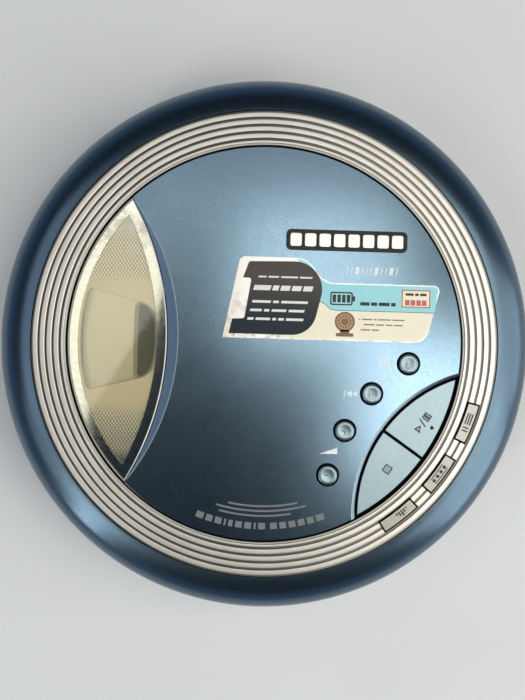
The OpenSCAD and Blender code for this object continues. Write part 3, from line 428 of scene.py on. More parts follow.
def plate_mat():
    """Beige plate under the window: a fine diamond weave that fades out towards the display, silver towards the upper
    tip, darker towards the lower one, partly painted shade; its opening's walls carry painted shade.
    """
    m = Mat("display_weave")
    x = m.xyz()
    p = 0.84
    u = m.math("ADD", x[0], m.math("MULTIPLY", x[1], 0.66))
    v = m.math("SUBTRACT", x[0], m.math("MULTIPLY", x[1], 0.66))
    a = m.math("PINGPONG", u, p / 2)
    b = m.math("PINGPONG", v, p / 2)
    d = m.math("MULTIPLY", m.math("ADD", a, b), 1 / p)
    edge = m.math("MINIMUM", a, b)
    line = m.range(edge, 0.03, 0.12, 1.0, 0.0, True)
    # strength of the weave along the window
    top = m.math("MULTIPLY", m.range(x[1], 13.0, 17.5, 0.0, 1.0, True), m.range(x[1], 24.0, 29.0, 1.0, 0.25, True))
    low = m.math("MULTIPLY", m.range(x[1], -19.5, -15.5, 1.0, 0.0, True), m.range(x[1], -30.0, -26.0, 0.3, 1.0, True))
    s = m.math("MAXIMUM", top, low)
    g = m.noise(3.0, 4.0)
    gg = m.noise(0.22, 3.0, 0.5)
    c = m.mix(m.range(g, 0.3, 0.7, 0.0, 1.0), (0.545, 0.445, 0.27), (0.60, 0.49, 0.30))
    c = m.mix(m.range(x[1], 22.0, 31.0, 0.0, 1.0, True), c, (0.50, 0.46, 0.38))
    # partly painted shade: darker towards the lower tip
    c = m.mix(m.range(x[1], -27.0, -13.5, 0.72, 0.0, True), c, (0.17, 0.16, 0.12))
    c = m.mix(m.range(x[1], -30.5, -26.5, 0.9, 0.0, True), c, (0.055, 0.05, 0.05))
    c = m.mix(m.math("MULTIPLY", m.range(gg, 0.45, 0.65, 0.0, 0.35, True), m.range(x[1], 16.0, 24.0, 0.0, 1.0)), c, (0.72, 0.70, 0.62))
    c = m.mix(m.math("MULTIPLY", m.math("MULTIPLY", line, 0.8), s), c, (0.15, 0.135, 0.075))
    c = m.mix(m.math("MULTIPLY", m.range(d, 0.5, 0.95, 0.0, 0.75), s), c, (0.86, 0.82, 0.66))
    h = m.math("MULTIPLY", m.math("SUBTRACT", d, line), s)
    # painted shade on the walls of the display opening
    c = m.mix(m.wall(), c, (0.05, 0.042, 0.025))
    m.set(base=c, metal=0.5, rough=m.range(g, 0.3, 0.7, 0.32, 0.42), normal=m.bump(h, 0.5, 0.05))
    return m.m


def lcd_mat():
    m = Mat("lcd_glass")
    x = m.xyz()
    g = m.noise(5.0, 3.0)
    c = m.mix(m.range(x[1], -12.0, 12.0, 0.0, 1.0), (0.49, 0.415, 0.25), (0.57, 0.485, 0.30))
    # the reflector's fine speckle
    c = m.mix(m.range(g, 0.5, 0.8, 0.0, 0.25), c, (0.62, 0.55, 0.38))
    # painted shadow along the display's left edge, under the plate
    rad = m.math("SQRT", m.math("ADD", m.math("MULTIPLY", x[0], x[0]), m.math("MULTIPLY", x[1], x[1])))
    c = m.mix(m.range(rad, 43.6, 45.9, 0.0, 0.75, True), c, (0.20, 0.17, 0.11))
    m.set(base=c, rough=0.22, metal=0.15, normal=m.bump(g, 0.05, 0.004), coat=0.6, coat_rough=0.04)
    return m.m


def mirror_mat():
    m = Mat("mirror_film")
    x = m.xyz()
    g = m.noise(0.9, 4.0, 0.6)
    c = m.mix(m.range(g, 0.35, 0.7, 0.0, 1.0), (0.64, 0.615, 0.545), (0.585, 0.565, 0.495))
    cl = m.noise(0.3, 3.0, 0.55)
    # darker, mottled film towards the upper tip, partly painted shade
    c = m.mix(m.math("MULTIPLY", m.range(cl, 0.40, 0.62, 0.15, 0.85, True), m.range(x[1], 17.0, 28.0, 0.0, 1.0, True)), c, (0.30, 0.27, 0.24))
    m.set(base=c, metal=1.0, rough=m.range(g, 0.3, 0.7, 0.06, 0.10), normal=m.bump(g, 0.02, 0.004, m.round(0.06)))
    return m.m


def window_mat():
    """Clear sheet: straight-through light plus a Fresnel reflection, so what lies behind stays sharp. The chamfer is frosted."""
    m = Mat("window_clear")
    t = m.t
    tr = m.node("ShaderNodeBsdfTransparent")
    tr.inputs[0].default_value = (0.96, 0.97, 0.955, 1)
    gl = m.node("ShaderNodeBsdfGlossy")
    g = m.noise(0.25, 4.0, 0.6)
    m.put(gl.inputs["Roughness"], m.range(g, 0.35, 0.75, 0.03, 0.07))
    gl.inputs[0].default_value = (1, 1, 1, 1)
    fr = m.node("ShaderNodeFresnel")
    fr.inputs["IOR"].default_value = 1.49
    mx = m.node("ShaderNodeMixShader")
    t.links.new(fr.outputs[0], mx.inputs[0])
    t.links.new(tr.outputs[0], mx.inputs[1])
    t.links.new(gl.outputs[0], mx.inputs[2])
    lp = m.node("ShaderNodeLightPath")
    mx2 = m.node("ShaderNodeMixShader")
    t.links.new(lp.outputs["Is Shadow Ray"], mx2.inputs[0])
    t.links.new(mx.outputs[0], mx2.inputs[1])
    t.links.new(tr.outputs[0], mx2.inputs[2])
    m.set(base=(0.82, 0.80, 0.72), rough=0.32, spec=0.6, metal=0.2)
    edge = m.range(m.nz(), 0.80, 0.93, 1.0, 0.0, True)
    mx3 = m.node("ShaderNodeMixShader")
    m.put(mx3.inputs[0], edge)
    t.links.new(mx2.outputs[0], mx3.inputs[1])
    t.links.new(m.bsdf.outputs[0], mx3.inputs[2])
    t.links.new(mx3.outputs[0], m.out.inputs["Surface"])
    return m.m


def lens_mat():
    m = Mat("lens_coated")
    fr = m.node("ShaderNodeLayerWeight")
    fr.inputs["Blend"].default_value = 0.35
    c = m.mix(fr.outputs["Facing"], (0.05, 0.10, 0.42), (0.45, 0.18, 0.55))
    g = m.noise(2.0, 2.0)
    m.set(base=c, metal=0.4, rough=m.range(g, 0.3, 0.7, 0.03, 0.06), coat=1.0, coat_rough=0.02)
    return m.m


MATS["board"] = board_mat()
# near-black board seen through the gaps between the keys: painted shade
MATS["board_painted_shade"] = moulded("board_painted_shade", (0.006, 0.008, 0.007), rough=0.6, tex=2.0, spec=0.1)
MATS["ribbon"] = ribbon_mat()
MATS["cell"] = cell_mat()
MATS["plate"] = plate_mat()
MATS["lcd"] = lcd_mat()
MATS["mirror"] = mirror_mat()
MATS["window"] = window_mat()
MATS["lens"] = lens_mat()
MATS["print_light"] = printed("print_light", (0.88, 0.90, 0.90), rough=0.45, var=0.02)
MATS["print_grey"] = printed("print_grey", (0.30, 0.38, 0.41), rough=0.45)
MATS["print_faint"] = printed("print_faint", (0.17, 0.185, 0.19), rough=0.5)
MATS["label_gold"] = printed("label_gold", (0.42, 0.24, 0.09), rough=0.3, metal=0.2)
MATS["label_ink"] = printed("label_ink", (0.22, 0.18, 0.13), rough=0.4)
MATS["lcd_dark"] = printed("lcd_dark", (0.085, 0.08, 0.042), rough=0.2, var=0.02)
MATS["lcd_mid"] = printed("lcd_mid", (0.26, 0.235, 0.135), rough=0.2, var=0.02)
MATS["print_dark"] = printed("print_dark", (0.02, 0.024, 0.028), rough=0.45, spec=0.3)
MATS["label_silver"] = printed("label_silver", (0.88, 0.84, 0.74), rough=0.32, metal=0.12, var=0.015)
MATS["label_cyan"] = printed("label_cyan", (0.30, 0.70, 0.74), rough=0.3)
MATS["label_cream"] = printed("label_cream", (0.93, 0.85, 0.64), rough=0.3, var=0.015)
MATS["label_dark"] = printed("label_dark", (0.028, 0.030, 0.030), rough=0.34, spec=0.22)


def block_mat():
    m = Mat("label_block")
    x = m.xyz()
    g = m.noise(5.0, 4.0, 0.6)
    c = m.mix(m.range(x[1], 5.0, 18.0, 0.0, 1.0, True), (0.006, 0.014, 0.026), (0.075, 0.062, 0.052))
    c = m.mix(m.range(g, 0.5, 0.8, 0.0, 0.3), c, (0.05, 0.048, 0.045))
    m.set(base=c, rough=m.range(g, 0.3, 0.7, 0.3, 0.38), spec=0.2, normal=m.bump(g, 0.06, 0.005))
    return m.m


def edge_mat():
    """Silvered film of the label: creased and a little stained down its left side."""
    m = Mat("label_foil")
    x = m.xyz()
    g = m.noise(0.5, 4.0, 0.6, dist=0.5)
    f = m.noise(6.0, 3.0)
    c = m.mix(m.range(x[0], -11.0, -3.0, 0.0, 1.0, True), (0.80, 0.72, 0.60), (0.86, 0.85, 0.80))
    c = m.mix(m.math("MULTIPLY", m.range(g, 0.45, 0.65, 0.0, 0.8, True), m.range(x[1], 14.0, 6.0, 0.0, 1.0)), c, (0.42, 0.37, 0.33))
    m.set(base=c, metal=0.2, rough=m.range(f, 0.3, 0.7, 0.26, 0.34), normal=m.bump(g, 0.1, 0.02))
    return m.m


MATS["label_block"] = block_mat()
MATS["label_foil"] = edge_mat()
MATS["label_red"] = printed("label_red", (0.50, 0.085, 0.05), rough=0.3)
MATS["label_brown"] = printed("label_brown", (0.15, 0.066, 0.024), rough=0.3)
MATS["label_white"] = printed("label_white", (0.8, 0.79, 0.74), rough=0.3)

CAD_MATS = {
    "base_case": "paint_base", "rubber_feet": "rubber", "battery_door": "paint_door", "aa_cells": "cell", "battery_contacts": "steel",
    "battery_springs": "chrome", "disc_deck": "deck", "case_screws": "screw_black", "mech_chassis": "steel", "damper_grommets": "rubber",
    "damper_screws": "chrome", "spindle_motor": "alu", "spindle_shaft": "chrome", "turntable_hub": "white", "turntable_mat": "rubber",
    "chuck_balls": "chrome", "guide_rods": "chrome", "pickup_sled": "black", "actuator_magnets": "magnet", "lens_holder": "black",
    "objective_lens": "lens", "feed_gear": "white", "feed_pinion": "brass", "feed_motor": "alu", "main_board": "board", "board_chips": "black",
    "board_capacitors": "alu", "board_screws": "chrome", "pickup_flex": "ribbon", "headphone_jack": "black", "dc_jack": "black",
    "dc_jack_pin": "chrome", "lid_switch": "black", "hold_knob": "silver_part", "open_slider": "silver_part", "latch_spring": "chrome",
    "hinge_pins": "chrome", "hinge_spring": "chrome", "lid_shell": "paint_shell", "trim_ring": "silver", "lid_panel": "paint_panel",
    "display_window": "window", "display_bezel": "mirror", "display_plate": "plate", "lcd_module": "lcd", "lid_board": "board_painted_shade",
    "key_switches": "black", "lid_cover": "deck", "lid_screws": "screw_black", "badge_plate": "badge_black", "product_label": "label_silver",
    "key_next": "paint_key", "key_prev": "paint_key", "key_vol_up": "paint_key", "key_vol_down": "paint_key", "key_play": "paint_light",
    "key_stop": "paint_light", "key_bar_a": "silver_key", "key_bar_b": "silver_key", "key_bar_c": "silver_key",
}


# ---------------------------------------------------------------- finish for the carried-over CAD pieces
def smooth_group(angle):
    """Geometry nodes: shade smooth except over edges sharper than the given angle."""
    name = "cad_smooth_%d" % round(angle)
    if name in bpy.data.node_groups:
        return bpy.data.node_groups[name]
    g = bpy.data.node_groups.new(name, "GeometryNodeTree")
    g.interface.new_socket("Geometry", in_out="INPUT", socket_type="NodeSocketGeometry")
    g.interface.new_socket("Geometry", in_out="OUTPUT", socket_type="NodeSocketGeometry")
    gi = g.nodes.new("NodeGroupInput")
    go = g.nodes.new("NodeGroupOutput")
    s1 = g.nodes.new("GeometryNodeSetShadeSmooth")
    s1.domain = "FACE"
    s1.inputs["Shade Smooth"].default_value = True
    s2 = g.nodes.new("GeometryNodeSetShadeSmooth")
    s2.domain = "EDGE"
    s2.inputs["Shade Smooth"].default_value = False
    ea = g.nodes.new("GeometryNodeInputMeshEdgeAngle")
    gt = g.nodes.new("FunctionNodeCompare")
    gt.data_type = "FLOAT"
    gt.operation = "GREATER_THAN"
    gt.inputs[1].default_value = math.radians(angle)
    g.links.new(gi.outputs[0], s1.inputs["Geometry"])
    g.links.new(s1.outputs[0], s2.inputs["Geometry"])
    g.links.new(ea.outputs["Unsigned Angle"], gt.inputs[0])
    g.links.new(gt.outputs[0], s2.inputs["Selection"])
    g.links.new(s2.outputs[0], go.inputs[0])
    return g


def strip_group():
    name = "cad_strip_normals"
    if name in bpy.data.node_groups:
        return bpy.data.node_groups[name]
    g = bpy.data.node_groups.new(name, "GeometryNodeTree")
    g.interface.new_socket("Geometry", in_out="INPUT", socket_type="NodeSocketGeometry")
    g.interface.new_socket("Geometry", in_out="OUTPUT", socket_type="NodeSocketGeometry")
    gi = g.nodes.new("NodeGroupInput")
    go = g.nodes.new("NodeGroupOutput")
    last = gi.outputs[0]
    for a in ("custom_normal", "sharp_edge", "sharp_face"):
        r = g.nodes.new("GeometryNodeRemoveAttribute")
        r.inputs["Name"].default_value = a
        g.links.new(last, r.inputs[0])
        last = r.outputs[0]
    g.links.new(last, go.inputs[0])
    return g


def finish_cad(o, bevel=0.0, segs=2, angle=32, planar=True):
    m = o.modifiers.new("strip", "NODES")
    m.node_group = strip_group()
    w = o.modifiers.new("weld", "WELD")
    w.merge_threshold = 2e-6
    if planar:
        d = o.modifiers.new("planar", "DECIMATE")
        d.decimate_type = "DISSOLVE"
        d.angle_limit = math.radians(0.3)
    if bevel > 0:
        b = o.modifiers.new("bevel", "BEVEL")
        b.width = bevel * MM
        b.segments = segs
        b.limit_method = "ANGLE"
        b.angle_limit = math.radians(angle)
        b.use_clamp_overlap = True
        b.miter_outer = "MITER_ARC"
    s = o.modifiers.new("smooth", "NODES")
    s.node_group = smooth_group(angle)
    if bevel > 0:
        wn = o.modifiers.new("weighted", "WEIGHTED_NORMAL")
        wn.keep_sharp = True
        wn.weight = 60


BEVELS = {
    "base_case": 0.1, "battery_door": 0.0, "disc_deck": 0.1, "mech_chassis": 0.08, "pickup_sled": 0.0,
    "lid_shell": 0.0, "lid_panel": 0.08, "display_window": 0.06, "display_bezel": 0.05, "lid_cover": 0.1,
    "key_play": 0.14, "key_stop": 0.14, "key_bar_a": 0.12, "key_bar_b": 0.12, "key_bar_c": 0.12, "trim_ring": 0.05,
    "open_slider": 0.08, "hold_knob": 0.08, "headphone_jack": 0.1, "dc_jack": 0.1, "lens_holder": 0.1,
    "actuator_magnets": 0.1, "board_chips": 0.08, "feed_gear": 0.05, "lid_switch": 0.08,
}
SHARP = {"battery_springs", "latch_spring", "hinge_spring"}
for n, o in NODES.items():
    o.data.materials.clear()
    o.data.materials.append(MATS[CAD_MATS[n]])
    finish_cad(o, BEVELS.get(n, 0.0), angle=60 if n in SHARP else (11 if n == "lid_panel" else 32))


# ---------------------------------------------------------------- mesh helpers for the Blender pieces
def add_object(name, bm, mat, body, bevel=0.0, segs=3, angle=35):
    bmesh.ops.recalc_face_normals(bm, faces=bm.faces)
    me = bpy.data.meshes.new(name)
    bm.to_mesh(me)
    bm.free()
    o = bpy.data.objects.new(name, me)
    SCENE.collection.objects.link(o)
    me.materials.append(MATS[mat] if isinstance(mat, str) else mat)
    for p in me.polygons:
        p.use_smooth = True
    if bevel > 0:
        b = o.modifiers.new("bevel", "BEVEL")
        b.width = bevel * MM
        b.segments = segs
        b.limit_method = "ANGLE"
        b.angle_limit = math.radians(angle)
    s = o.modifiers.new("smooth", "NODES")
    s.node_group = smooth_group(angle)
    if bevel > 0:
        wn = o.modifiers.new("weighted", "WEIGHTED_NORMAL")
        wn.keep_sharp = True
    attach(o, body)
    return o


def prism_into(bm, pts, z0, z1, inset=0.0, drop=0.0):
    """A closed prism over a plan outline in millimetres."""
    lo = [bm.verts.new((x * MM, y * MM, z0 * MM)) for x, y in pts]
    hi = [bm.verts.new((x * MM, y * MM, z1 * MM)) for x, y in pts]
    n = len(pts)
    bm.faces.new(list(reversed(lo)))
    bm.faces.new(hi)
    for i in range(n):
        j = (i + 1) % n
        bm.faces.new((lo[i], lo[j], hi[j], hi[i]))


def prism(name, outlines, z0, z1, mat, body, bevel=0.0, segs=3):
    bm = bmesh.new()
    for pts in outlines:
        prism_into(bm, pts, z0, z1)
    return add_object(name, bm, mat, body, bevel, segs)


def arc(c, r, a0, a1, n):
    return [(c[0] + r * math.cos(math.radians(a0 + (a1 - a0) * i / n)), c[1] + r * math.sin(math.radians(a0 + (a1 - a0) * i / n))) for i in range(n + 1)]


def move(pts, at, turn=0.0):
    c, s = math.cos(math.radians(turn)), math.sin(math.radians(turn))
    return [(at[0] + x * c - y * s, at[1] + x * s + y * c) for x, y in pts]


def polar_at(c, r, a):
    return (c[0] + r * math.cos(math.radians(a)), c[1] + r * math.sin(math.radians(a)))


def rect(w, h, r=0.0, n=5):
    if r <= 0:
        return [(-w / 2, -h / 2), (w / 2, -h / 2), (w / 2, h / 2), (-w / 2, h / 2)]
    x, y = w / 2 - r, h / 2 - r
    return arc((x, -y), r, -90, 0, n) + arc((x, y), r, 0, 90, n) + arc((-x, y), r, 90, 180, n) + arc((-x, -y), r, 180, 270, n)


def ring_sector(r0, r1, a0, a1, n=8):
    return arc((0, 0), r1, a0, a1, n) + arc((0, 0), r0, a1, a0, n)


def frame_shape(bm, outer, inner, z0, z1):
    """A closed band between two outlines with the same number of points."""
    n = len(outer)
    ring = []
    for pts, z in ((outer, z0), (outer, z1), (inner, z1), (inner, z0)):
        ring.append([bm.verts.new((x * MM, y * MM, z * MM)) for x, y in pts])
    for k in range(4):
        a, b = ring[k], ring[(k + 1) % 4]
        for i in range(n):
            j = (i + 1) % n
            bm.faces.new((a[i], a[j], b[j], b[i]))


def lathe_into(bm, pts, at=(0.0, 0.0), seg=256, closed=True):
    """Turn a closed (r, z) outline in millimetres round the vertical axis through `at`."""
    rings = []
    for r, z in pts:
        if r < 1e-6:
            rings.append([bm.verts.new((at[0] * MM, at[1] * MM, z * MM))])
        else:
            rings.append([bm.verts.new(((at[0] + r * math.cos(2 * math.pi * i / seg)) * MM, (at[1] + r * math.sin(2 * math.pi * i / seg)) * MM, z * MM)) for i in range(seg)])
    n = len(rings)
    for k in range(n if closed else n - 1):
        a, b = rings[k], rings[(k + 1) % n]
        if len(a) == 1 and len(b) == 1:
            continue
        for i in range(seg):
            j = (i + 1) % seg
            if len(a) == 1:
                bm.faces.new((a[0], b[j], b[i]))
            elif len(b) == 1:
                bm.faces.new((a[i], a[j], b[0]))
            else:
                bm.faces.new((a[i], a[j], b[j], b[i]))


def cut(o, cutters):
    """Exact boolean difference, applied, and the cutters removed."""
    for c in cutters:
        md = o.modifiers.new("cut", "BOOLEAN")
        md.operation = "DIFFERENCE"
        md.solver = "EXACT"
        md.object = c
    bpy.context.view_layer.update()
    dg = bpy.context.evaluated_depsgraph_get()
    me = bpy.data.meshes.new_from_object(o.evaluated_get(dg))
    for md in list(o.modifiers):
        o.modifiers.remove(md)
    o.data = me
    for c in cutters:
        bpy.data.objects.remove(c, do_unlink=True)


def plain(name, bm):
    bmesh.ops.recalc_face_normals(bm, faces=bm.faces)
    me = bpy.data.meshes.new(name)
    bm.to_mesh(me)
    bm.free()
    o = bpy.data.objects.new(name, me)
    SCENE.collection.objects.link(o)
    return o


def dress(o, mat, body, angle=30, bevel=0.0, segs=3, weighted=False):
    o.data.materials.clear()
    o.data.materials.append(MATS[mat])
    if bevel > 0:
        b = o.modifiers.new("bevel", "BEVEL")
        b.width = bevel * MM
        b.segments = segs
        b.limit_method = "ANGLE"
        b.angle_limit = math.radians(angle)
    g = o.modifiers.new("smooth", "NODES")
    g.node_group = smooth_group(angle)
    if weighted or bevel > 0:
        wn = o.modifiers.new("weighted", "WEIGHTED_NORMAL")
        wn.keep_sharp = True
    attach(o, body)
    return o


# ---------------------------------------------------------------- ribbed ring, turned with soft crowns
RING_TOP, RING_LOW = 27.95, 27.40
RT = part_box("trim_ring")


def ridge_pts(c, w, drop=0.09, n=20):
    return [(c + w * (2 * i / n - 1), RING_TOP - drop * abs(2 * i / n - 1) ** 10) for i in range(n + 1)]


prof = [(49.35, 25.45), (49.35, 27.33), (49.40, 27.44), (49.50, 27.5), (49.80, 27.5), (49.87, 27.56)]
prof += ridge_pts(50.2, 0.3, 0.08, 12) + [(50.56, 27.5), (50.63, RING_LOW), (50.93, RING_LOW)]
for k in range(4):
    c = 51.69 + 1.74 * k
    prof += [(c - 0.69, RING_LOW + 0.01), (c - 0.635, RING_LOW + 0.1)] + ridge_pts(c, 0.6) + [(c + 0.635, RING_LOW + 0.1), (c + 0.69, RING_LOW + 0.01)]
prof += [(57.95, RING_LOW), (57.95, 25.45)]
bm = bmesh.new()
lathe_into(bm, prof, seg=512)
ring = plain("ribbed_ring", bm)
cutters = []
for k in (-1, 0, 1):
    for grow, da, z0, z1 in ((0.0, 0.0, 25.0, 29.0), (0.75, 0.9, 25.0, 26.4)):
        bm = bmesh.new()
        a0 = BAR_AXIS + k * BAR_STEP
        prism_into(bm, ring_sector(52.6 - grow, 55.8 + grow, a0 - 5.35 - da, a0 + 5.35 + da, 24), z0, z1)
        cutters.append(plain("cutter", bm))
cut(ring, cutters)
dress(ring, "silver", "lid", angle=34)
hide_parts("trim_ring")

# ---------------------------------------------------------------- round keys, dished with a rolled rim
for key in ROUND:
    p = key_pos(key)
    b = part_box(key)
    top, bot = b[1].z / MM, b[0].z / MM
    pts = [(0.0, bot), (1.6, bot), (1.6, 25.93), (3.3, 25.93), (3.3, 26.3), (2.45, 26.3), (2.45, 27.78)]
    pts += [(2.45 - 0.55 * (1 - math.cos(math.radians(t))), 27.78 + 0.5 * math.sin(math.radians(t))) for t in (12, 24, 36, 48, 60, 72, 84)]
    pts += [(1.75, 28.292), (1.55, 28.286), (1.3, 28.26), (1.0, 28.225), (0.7, 28.2), (0.4, 28.185), (0.0, 28.18)]
    bm = bmesh.new()
    lathe_into(bm, pts, p, 96, closed=False)
    o = plain(key + "_cap", bm)
    dress(o, "paint_key", key + "_body", angle=40)
    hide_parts(key)

# ---------------------------------------------------------------- window: sheet with a frosted chamfer, border, plate with a rounded opening


def lens_pts(dr, n=72, r_left=48.95, r_in=None):
    """Lens between the rim circle and the window's inner arc, drawn in by dr, counter-clockwise from its lower tip."""
    r0 = r_left - dr
    r1 = (WR if r_in is None else r_in) - (dr if r_in is None else 0)
    d = -WC[0]
    # distance from the origin to the chord, measured towards -X
    x = (d * d + r0 * r0 - r1 * r1) / (2 * d)
    y = math.sqrt(max(0.0, r0 * r0 - x * x))
    a1 = math.degrees(math.atan2(y, d - x))
    a0 = math.degrees(math.atan2(y, x))
    right = arc(WC, r1, -a1, a1, n)
    left = arc((0, 0), r0, 180 - a0, 180 + a0, n)
    return right[:-1] + left[:-1]


def loft(name, rings):
    """Skin a stack of equal-length outlines [(pts, z), ...] and close both ends."""
    bm = bmesh.new()
    vs = [[bm.verts.new((x * MM, y * MM, z * MM)) for x, y in pts] for pts, z in rings]
    n = len(vs[0])
    for a, b in zip(vs, vs[1:]):
        for i in range(n):
            j = (i + 1) % n
            bm.faces.new((a[i], a[j], b[j], b[i]))
    bm.faces.new(list(reversed(vs[0])))
    bm.faces.new(vs[-1])
    return plain(name, bm)


o = loft("window_sheet", [(lens_pts(0.1), 26.85), (lens_pts(0.1), 27.26), (lens_pts(0.34), 27.5)])
dress(o, "window", "lid", angle=20)
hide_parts("display_window")

bm = bmesh.new()
frame_shape(bm, lens_pts(0.15), lens_pts(0.0, r_left=46.45, r_in=WR - 2.75), 26.2, 26.8)
o = plain("window_border", bm)
dress(o, "mirror", "lid", angle=30, bevel=0.07)
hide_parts("display_bezel")


def lcd_hole(grow=0.0, n=6):
    """Display opening: slanted top and bottom, curved ends, rounded corners."""
    def side(x, s):
        return s * (13.55 + (x + 46.5) * (8.3 - 13.55) / 20.5 + grow)

    out = []
    xr = -27.15 + grow
    # right end follows the border, with wide corners
    out += [(xr - 3.6, side(xr - 3.6, -1)), (xr - 2.3, side(xr - 2.6, -1) + 0.25), (xr - 1.1, side(xr - 2.0, -1) + 1.0), (xr - 0.35, side(xr, -1) + 1.7), (xr, side(xr, -1) + 3.6), (xr + 0.25, -2.0), (xr + 0.25, 2.0),
            (xr, side(xr, 1) - 3.6), (xr - 0.35, side(xr, 1) - 1.7), (xr - 1.1, side(xr - 2.0, 1) - 1.0), (xr - 2.3, side(xr - 2.6, 1) - 0.25), (xr - 3.6, side(xr - 3.6, 1))]
    re = 45.85 + grow
    out += [(-42.9, side(-42.9, 1)), (-43.55, side(-43.3, 1) - 0.06), (-44.0, side(-43.7, 1) - 0.55)]
    out += [polar(re, 180 + t) for t in (-14.5, -11, -7.5, -3.75, 0, 3.75, 7.5, 11, 14.5)]
    out += [(-44.0, side(-43.7, -1) + 0.55), (-43.55, side(-43.3, -1) + 0.06), (-42.9, side(-42.9, -1))]
    return out


o = loft("display_plate_formed", [(lens_pts(0.5), 25.85), (lens_pts(0.5), 26.15)])
bm = bmesh.new()
prism_into(bm, lcd_hole(), 25.0, 27.0)
cut(o, [plain("cutter", bm)])
dress(o, "plate", "lid", angle=30)
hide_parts("display_plate")
# painted reflection: a dark patch with a mid-toned band round it, laid as thin sheets on the right end of the display
prism("painted_display_reflection", [[(-31.2, 8.9), (-30.6, 9.0), (-29.3, 8.2), (-28.2, 6.6), (-27.6, 4.0), (-27.35, 0.0), (-27.6, -4.0), (-28.2, -6.6), (-29.3, -8.2), (-30.6, -9.0), (-31.2, -8.9), (-31.5, -8.4), (-31.6, 0.0), (-31.5, 8.4)][::-1]], 25.70, 25.79, "lcd_dark", "lid")
prism("display_field_edge", [[(-31.9, 9.3), (-31.2, 9.6), (-29.9, 9.2), (-28.0, 7.6), (-27.2, 4.2), (-27.0, 0.0), (-27.2, -4.2), (-28.0, -7.6), (-29.9, -9.2), (-31.2, -9.6), (-32.0, -9.5), (-32.5, -8.6), (-32.7, 0.0), (-32.5, 8.4)][::-1]], 25.70, 25.765, "lcd_mid", "lid")

# ---------------------------------------------------------------- prints on the lid panel
Z0, Z1 = PANEL_Z - 0.01, PANEL_Z + 0.02
TRI = [(-0.82, -0.72), (0.62, 0.0), (-0.82, 0.72)]


def tri(at, s):
    return move([(x * s, y * s) for x, y in TRI], at)


def dashes(x0, y, widths, h, gap=0.55, slant=0.0):
    """A row of short strokes standing in for a line of print."""
    out = []
    x = x0
    for wd in widths:
        out.append([(x, y - h / 2), (x + wd, y - h / 2), (x + wd + slant * h, y + h / 2), (x + slant * h, y + h / 2)])
        x += wd + gap
    return out


prism("mark_skip_forward", [tri((29.5, -3.95), 1), tri((31.0, -3.95), 1), move(rect(0.28, 1.45), (32.0, -3.95))], Z0, Z1, "print_light", "lid")
prism("mark_skip_back", [tri((21.3, -11.8), -1), tri((22.8, -11.8), -1), move(rect(0.28, 1.45), (20.35, -11.8))], Z0, Z1, "print_light", "lid")
prism("mark_level", [move([(-2.2, -0.7), (2.2, -0.7), (2.2, 0.85)], (16.8, -26.2))], Z0, Z1, "print_light", "lid")

# a faint arc of strokes near the rim and a longer broken line above it
ticks = []
pat = (1.9, 1.7, 1.7, 0.5, 1.1, 1.7, 1.7, 0.5, 1.7, 0, 1.7, 1.7, 1.7, 1.7, 1.7, 2.1)
gap = 0.62
total = sum(p + gap for p in pat)
a = -90 - math.degrees(total / 2 / 45.3) + 0.8
for p_ in pat:
    if p_:
        da = math.degrees(p_ / 45.3)
        ticks.append(ring_sector(44.55, 46.15, a, a + da, 3))
        a += da
    a += math.degrees(gap / 45.3)
prism("mark_arc_strokes", ticks, Z0, Z1, "print_faint", "lid")
lines = []
for (r0, r1, a0, a1) in ((42.6, 43.05, -103.5, -79.5), (41.4, 41.85, -105.0, -74.0), (40.2, 40.65, -101.0, -76.5)):
    lines.append(ring_sector(r0, r1, a0, a1, 24))
prism("mark_rim_lines", lines, Z0, Z1, "print_faint", "lid")
prism("mark_row", dashes(20.0, 18.8, (0.24, 0.24, 0.9, 0.24, 0.24, 0.24, 0.9, 0.24, 0.24, 0.9, 0.24), 1.9, 0.78, 0.16), Z0, Z1, "print_light", "lid")

# ---------------------------------------------------------------- badge
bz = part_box("badge_plate")
bc = ((bz[0].x + bz[1].x) / 2 / MM, (bz[0].y + bz[1].y) / 2 / MM)
BT = bz[1].z / MM
badge = prism("badge_body", [move(rect(30.1, 5.2, 1.25, 8), bc)], PANEL_Z - 0.02, BT, "badge_black", "lid", bevel=0.14, segs=4)
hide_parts("badge_plate")
prism("badge_blocks", [move(rect(2.86, 3.3, 0.55, 6), (bc[0] - 12.6 + 3.6 * i, bc[1])) for i in range(8)], BT - 0.05, BT + 0.07, "silver_part", "lid", bevel=0.06, segs=3)

# ---------------------------------------------------------------- label, wordless
LZ = PANEL_Z


def label_outline(d=0.0):
    return ([(-10.4 + 1.2 * d, 1.3 + d), (37.2, 1.3 + d)] + arc((37.2, 5.0), 3.7 - d, -90, -14, 8) + arc((41.8, 14.2), 1.4 - d, 0, 90, 6)
            + arc((17.3, 21.22), 5.67 + d, 270, 208.1, 12) + arc((7.3, 15.88), 5.67 - d, 28.1, 90, 12) + [(-5.6, 21.55 - d), (-6.6 + d, 20.8 - d)])


